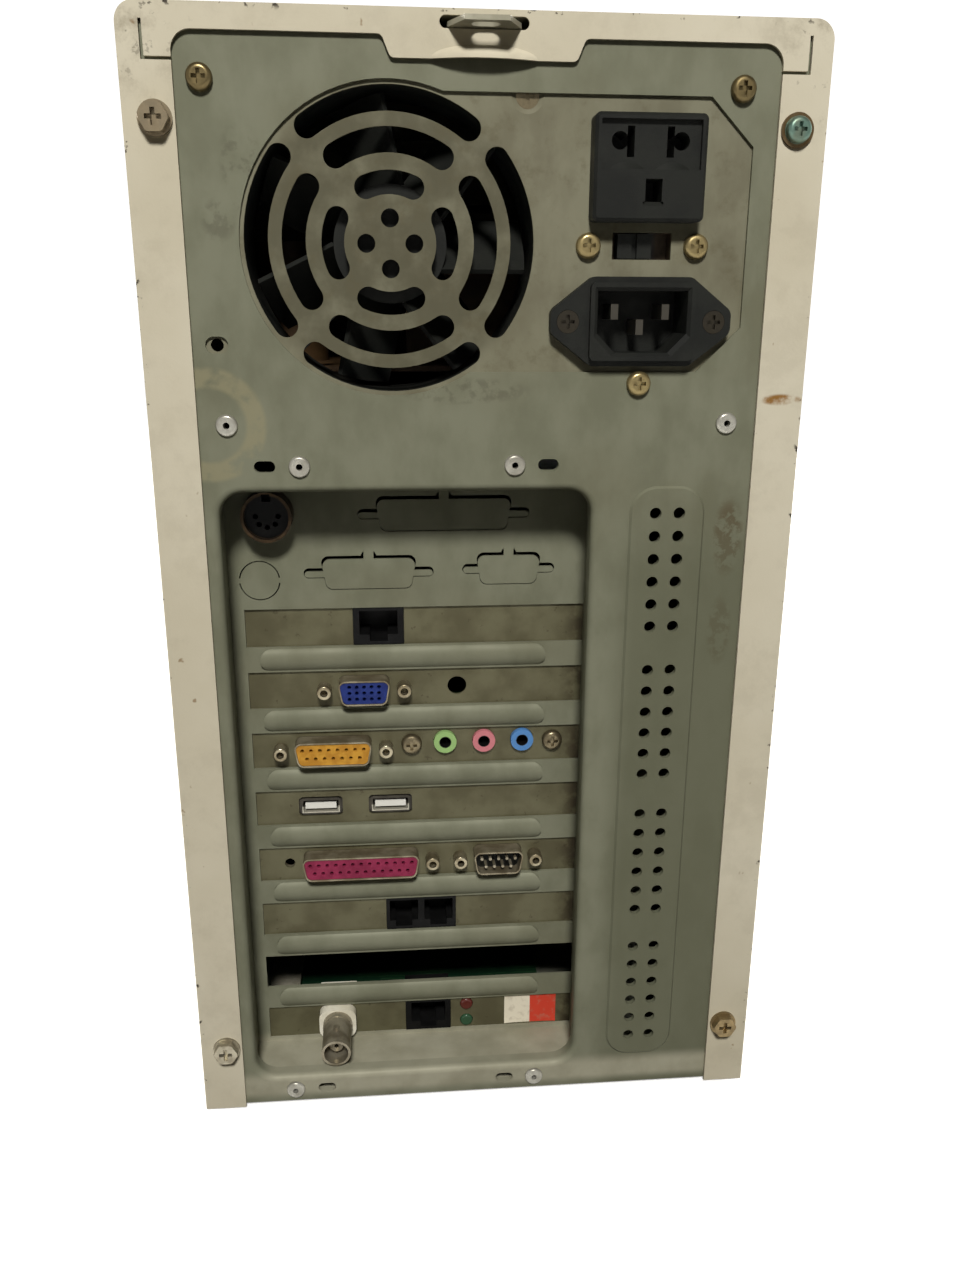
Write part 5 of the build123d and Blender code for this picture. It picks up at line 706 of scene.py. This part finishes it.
# %% Put the finishes on the solids
SLOT_FINISH = {
    "cover_paint": cover_finish, "panel_steel": panel_finish, "supply_steel": supply_finish,
    "bracket_tin": bracket_finish, "screw_zinc": screw_finish, "contact_nickel": nickel_finish,
    "black_plastic": black_finish, "blue_plastic": blue_finish, "orange_plastic": orange_finish,
    "magenta_plastic": magenta_finish, "jack_plastic": jack_finish, "white_plastic": white_finish,
    "circuit_board": board_finish, "bare_aluminium": aluminium_finish, "ceramic": ceramic_finish,
    "standoff_brass": standoff_finish, "foot_rubber": rubber_finish, "beige_plastic": beige_finish,
    "lamp_plastic": lamp_finish, "cable_grey": cable_finish,
}
NODE_FINISH = {
    "keyboard_socket": keyboard_finish, "usb_sockets": usb_finish, "cd_drive": disc_finish,
    "floppy_drive": floppy_finish, "port_shells": shell_finish, "jack_posts": post_finish,
    "chassis_rivets": rivet_finish, "cover_screws": cover_screw_finish,
    "network_jacks": jack_black_finish, "phone_jacks": jack_black_finish,
    "selector_body": selector_finish, "psu_board": paper_finish, "board_sockets": shaded_socket_finish,
    "lock_tongue": lit_tongue_finish,
}
for part in frame["record"]["subparts"]:
    mesh = frame["nodes"][part["node"]].data
    mesh.materials.clear()
    mesh.materials.append(NODE_FINISH.get(part["node"], SLOT_FINISH[part["material_slot"]]))

# %% [markdown]
# Two thin sheets are added to the solids. Each is a grid of points worked out over two parameters, which
# becomes a mesh with a face between each four neighbours. A Solidify modifier gives it its thickness, so
# that the grid itself stays a plain surface.


# %% Thin sheets
def sheet(name, points, thickness):
    """A thin piece over a grid of points, with a face between each four neighbours."""
    index = np.arange(points.shape[0] * points.shape[1]).reshape(points.shape[:2])
    faces = np.stack([index[:-1, :-1], index[:-1, 1:], index[1:, 1:], index[1:, :-1]], axis=-1)
    mesh = bpy.data.meshes.new(name)
    mesh.from_pydata(points.reshape(-1, 3).tolist(), [], faces.reshape(-1, 4).tolist())
    piece = bpy.data.objects.new(name, mesh)
    bpy.context.collection.objects.link(piece)
    solid = piece.modifiers.new("thickness", "SOLIDIFY")
    solid.thickness = thickness
    return piece


print("sheet helper ready")

# %% [markdown]
# The lowest card carries a small sticker, left blank: cream with a plain red block. Old stickers let go at
# their corners first, so the lift off the metal grows towards them instead of being the same all over.

# %% Blank sticker
LABEL_W, LABEL_H, LABEL_T = 18.2 * MM, 11.2 * MM, 0.06 * MM
LABEL_GAP, LABEL_CURL = 0.05 * MM, 0.3 * MM
BRACKET_DEPTH = 22.0


def sticker(x, z, wide, high, near_y):
    """Points over u and v from -1 to 1; the lift off the metal grows as u and v to the fourth power."""
    u, v = np.meshgrid(np.linspace(-1, 1, 25), np.linspace(-1, 1, 17))
    lift = LABEL_GAP + LABEL_CURL * (u**2 * v**2) ** 2
    return np.stack([x + u * wide / 2, near_y - lift, z + v * high / 2], axis=-1)


def sticker_paper(middle):
    """Cream left of the middle and red right of it, worn in patches."""
    material, shader, place = start("sticker paper", 0.5)
    x, _, _ = place.axes()
    block = x.rise(middle - STEP, middle)
    worn = place.noise(500.0, 4.0).rise(0.5, 0.75) * 0.35
    colour = worn.mix(block.mix(rgb(222, 214, 194), rgb(196, 62, 44)), rgb(150, 138, 116))
    connect(shader, Base_Color=colour, Roughness=worn * 0.3 + 0.45)
    return material


label_x = beside(90.7)
label_points = sticker(label_x, slot_height(8), LABEL_W, LABEL_H, depth(BRACKET_DEPTH))
label = sheet("blank_sticker", label_points, LABEL_T)
label.data.materials.append(sticker_paper(label_x))
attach(label, "chassis")
print("sticker", len(label.data.polygons), "faces")

# %% [markdown]
# Inside, the flat drive cable goes on from the hard disk's plug to the disc drive's plug. A stiff ribbon
# leaves and enters its plugs straight, so it follows one smooth bend and not a slanting line.

# %% The drive cable's upper run
CABLE_W, CABLE_T = 50.8 * MM, 1.0 * MM
PLUG_H, PLUG_OVER = 8.0 * MM, 1.6 * MM
FOLD_H = 60.4 * MM


def cable_run(left, right, start_yz, end_yz, straight):
    """Points of a flat cable: Z climbs evenly, and Y moves over by 3b^2 - 2b^3, where b is the share of
    the climb that lies below the straight end."""
    across, along = np.meshgrid(np.linspace(left, right, 9), np.linspace(0, 1, 41))
    bend = np.clip(along / (1 - straight), 0, 1)
    ease = bend**2 * (3 - 2 * bend)
    y = start_yz[0] + (end_yz[0] - start_yz[0]) * ease
    z = start_yz[1] + (end_yz[1] - start_yz[1]) * along
    return np.stack([across, y, z], axis=-1)


cable_low, cable_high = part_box("drive_ribbon")
cable_right = cable_high[0] - PLUG_OVER
cable_start = (cable_high[1] - PLUG_H - CABLE_T, cable_low[2] + FOLD_H)
cable_end = (cable_low[1] - CABLE_T, cable_high[2])
cable_share = PLUG_H / (cable_end[1] - cable_start[1])
cable_points = cable_run(cable_right - CABLE_W, cable_right, cable_start, cable_end, cable_share)
cable = sheet("drive_ribbon_rise", cable_points, CABLE_T)
cable.data.materials.append(cable_finish)
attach(cable, "chassis")
print("cable", len(cable.data.polygons), "faces")

# %% [markdown]
# The studio is a white floor inside a round white wall, under a dim sky. Both look white to the camera and
# in mirrors, but give little light back to the object, so the shadows under the lips stay as deep as in the
# photograph. Behind the camera they fade to pale grey, because a white wall mirrored in the dull metal would
# wash those shadows out. Near the object the floor glows only half, which leaves room for its shadow.


# %% Studio white
def studio_white():
    """White to rays that are seen, dark grey to light that bounces; it glows more away from the object."""
    material, shader, place = start("studio white", 0.9, 0.0, 0.0)
    camera_ray = place.make("ShaderNodeLightPath", {}, {}, "Is Camera Ray")
    seen = camera_ray.most(camera_ray.other("Is Glossy Ray")).most(camera_ray.other("Is Transmission Ray"))
    x, y, _ = place.axes()
    away = ((x * x + y * y) ** 0.5).rise(0.5, 1.6)
    behind = y.rise(-0.5, -1.1)
    glow = (away * 0.55 + 0.45 - place.noise(3.0) * 0.02) * (1.0 - behind * 0.6)
    connect(shader, Base_Color=seen.mix(rgb(84, 82, 78), rgb(246, 245, 242)))
    connect(shader, Emission_Color=(seen * glow).mix(rgb(0, 0, 0), rgb(255, 255, 255)))
    shader.inputs["Emission Strength"].default_value = 1.0
    return material


white = studio_white()
print("made", white.name)

# %% [markdown]
# The floor is one square. The wall is a ring of points at even angles and the same ring raised, with a
# face between each two neighbours; its faces look inwards.

# %% Floor and wall
WALL_R, WALL_H, WALL_SIDES = 3.5, 2.6, 96
FLOOR = 4.0


def stage_piece(name, points, faces, material):
    """A piece of the studio, which is not part of the object."""
    mesh = bpy.data.meshes.new(name)
    mesh.from_pydata(points, [], faces)
    mesh.materials.append(material)
    piece = bpy.data.objects.new(name, mesh)
    bpy.context.collection.objects.link(piece)


corners = [(-FLOOR, -FLOOR, 0), (FLOOR, -FLOOR, 0), (FLOOR, FLOOR, 0), (-FLOOR, FLOOR, 0)]
stage_piece("floor", corners, [(0, 1, 2, 3)], white)
angle = np.linspace(0, 2 * np.pi, WALL_SIDES, endpoint=False)
ring = np.stack([WALL_R * np.cos(angle), WALL_R * np.sin(angle), np.zeros(WALL_SIDES)], axis=-1)
lower = np.arange(WALL_SIDES)
after = np.roll(lower, -1)
stage_piece("wall", np.concatenate([ring, ring + (0, 0, WALL_H)]).tolist(),
            np.stack([after, lower, lower + WALL_SIDES, after + WALL_SIDES], axis=-1).tolist(), white)
print("floor and wall of", WALL_SIDES, "sides")

# %% [markdown]
# One small lamp above the camera gives the shadows of the photograph. A large one would blur them. Two wide
# lamps stand behind the object, where they light its sides and front without reaching the rear face.

# %% Lamps and sky
WARM_WHITE = (1.0, 0.98, 0.94)
DIM_SKY = (0.07, 0.0693, 0.0672, 1.0)


def lamp(name, place, target, size, watts):
    """A round area lamp that stands at a place and looks at a target."""
    data = bpy.data.lights.new(name, "AREA")
    data.shape = "DISK"
    data.size = size
    data.energy = watts
    data.color = WARM_WHITE
    piece = bpy.data.objects.new(name, data)
    piece.location = place
    piece.rotation_euler = (Vector(target) - piece.location).to_track_quat("-Z", "Y").to_euler()
    bpy.context.collection.objects.link(piece)


lamp("key", place=(-0.08, -1.39, 1.30), target=(0.0, -0.19, 0.2), size=0.28, watts=31.0)
lamp("left side", place=(-1.5, 0.9, 0.55), target=(0.0, 0.0, 0.16), size=0.8, watts=34.0)
lamp("right side", place=(1.5, 0.9, 0.55), target=(0.0, 0.0, 0.16), size=0.8, watts=34.0)
world = bpy.data.worlds.new("dim sky")
bpy.context.scene.world = world
world.use_nodes = True
world.node_tree.nodes["Background"].inputs["Color"].default_value = DIM_SKY
bpy.context.scene.view_settings.view_transform = "Standard"
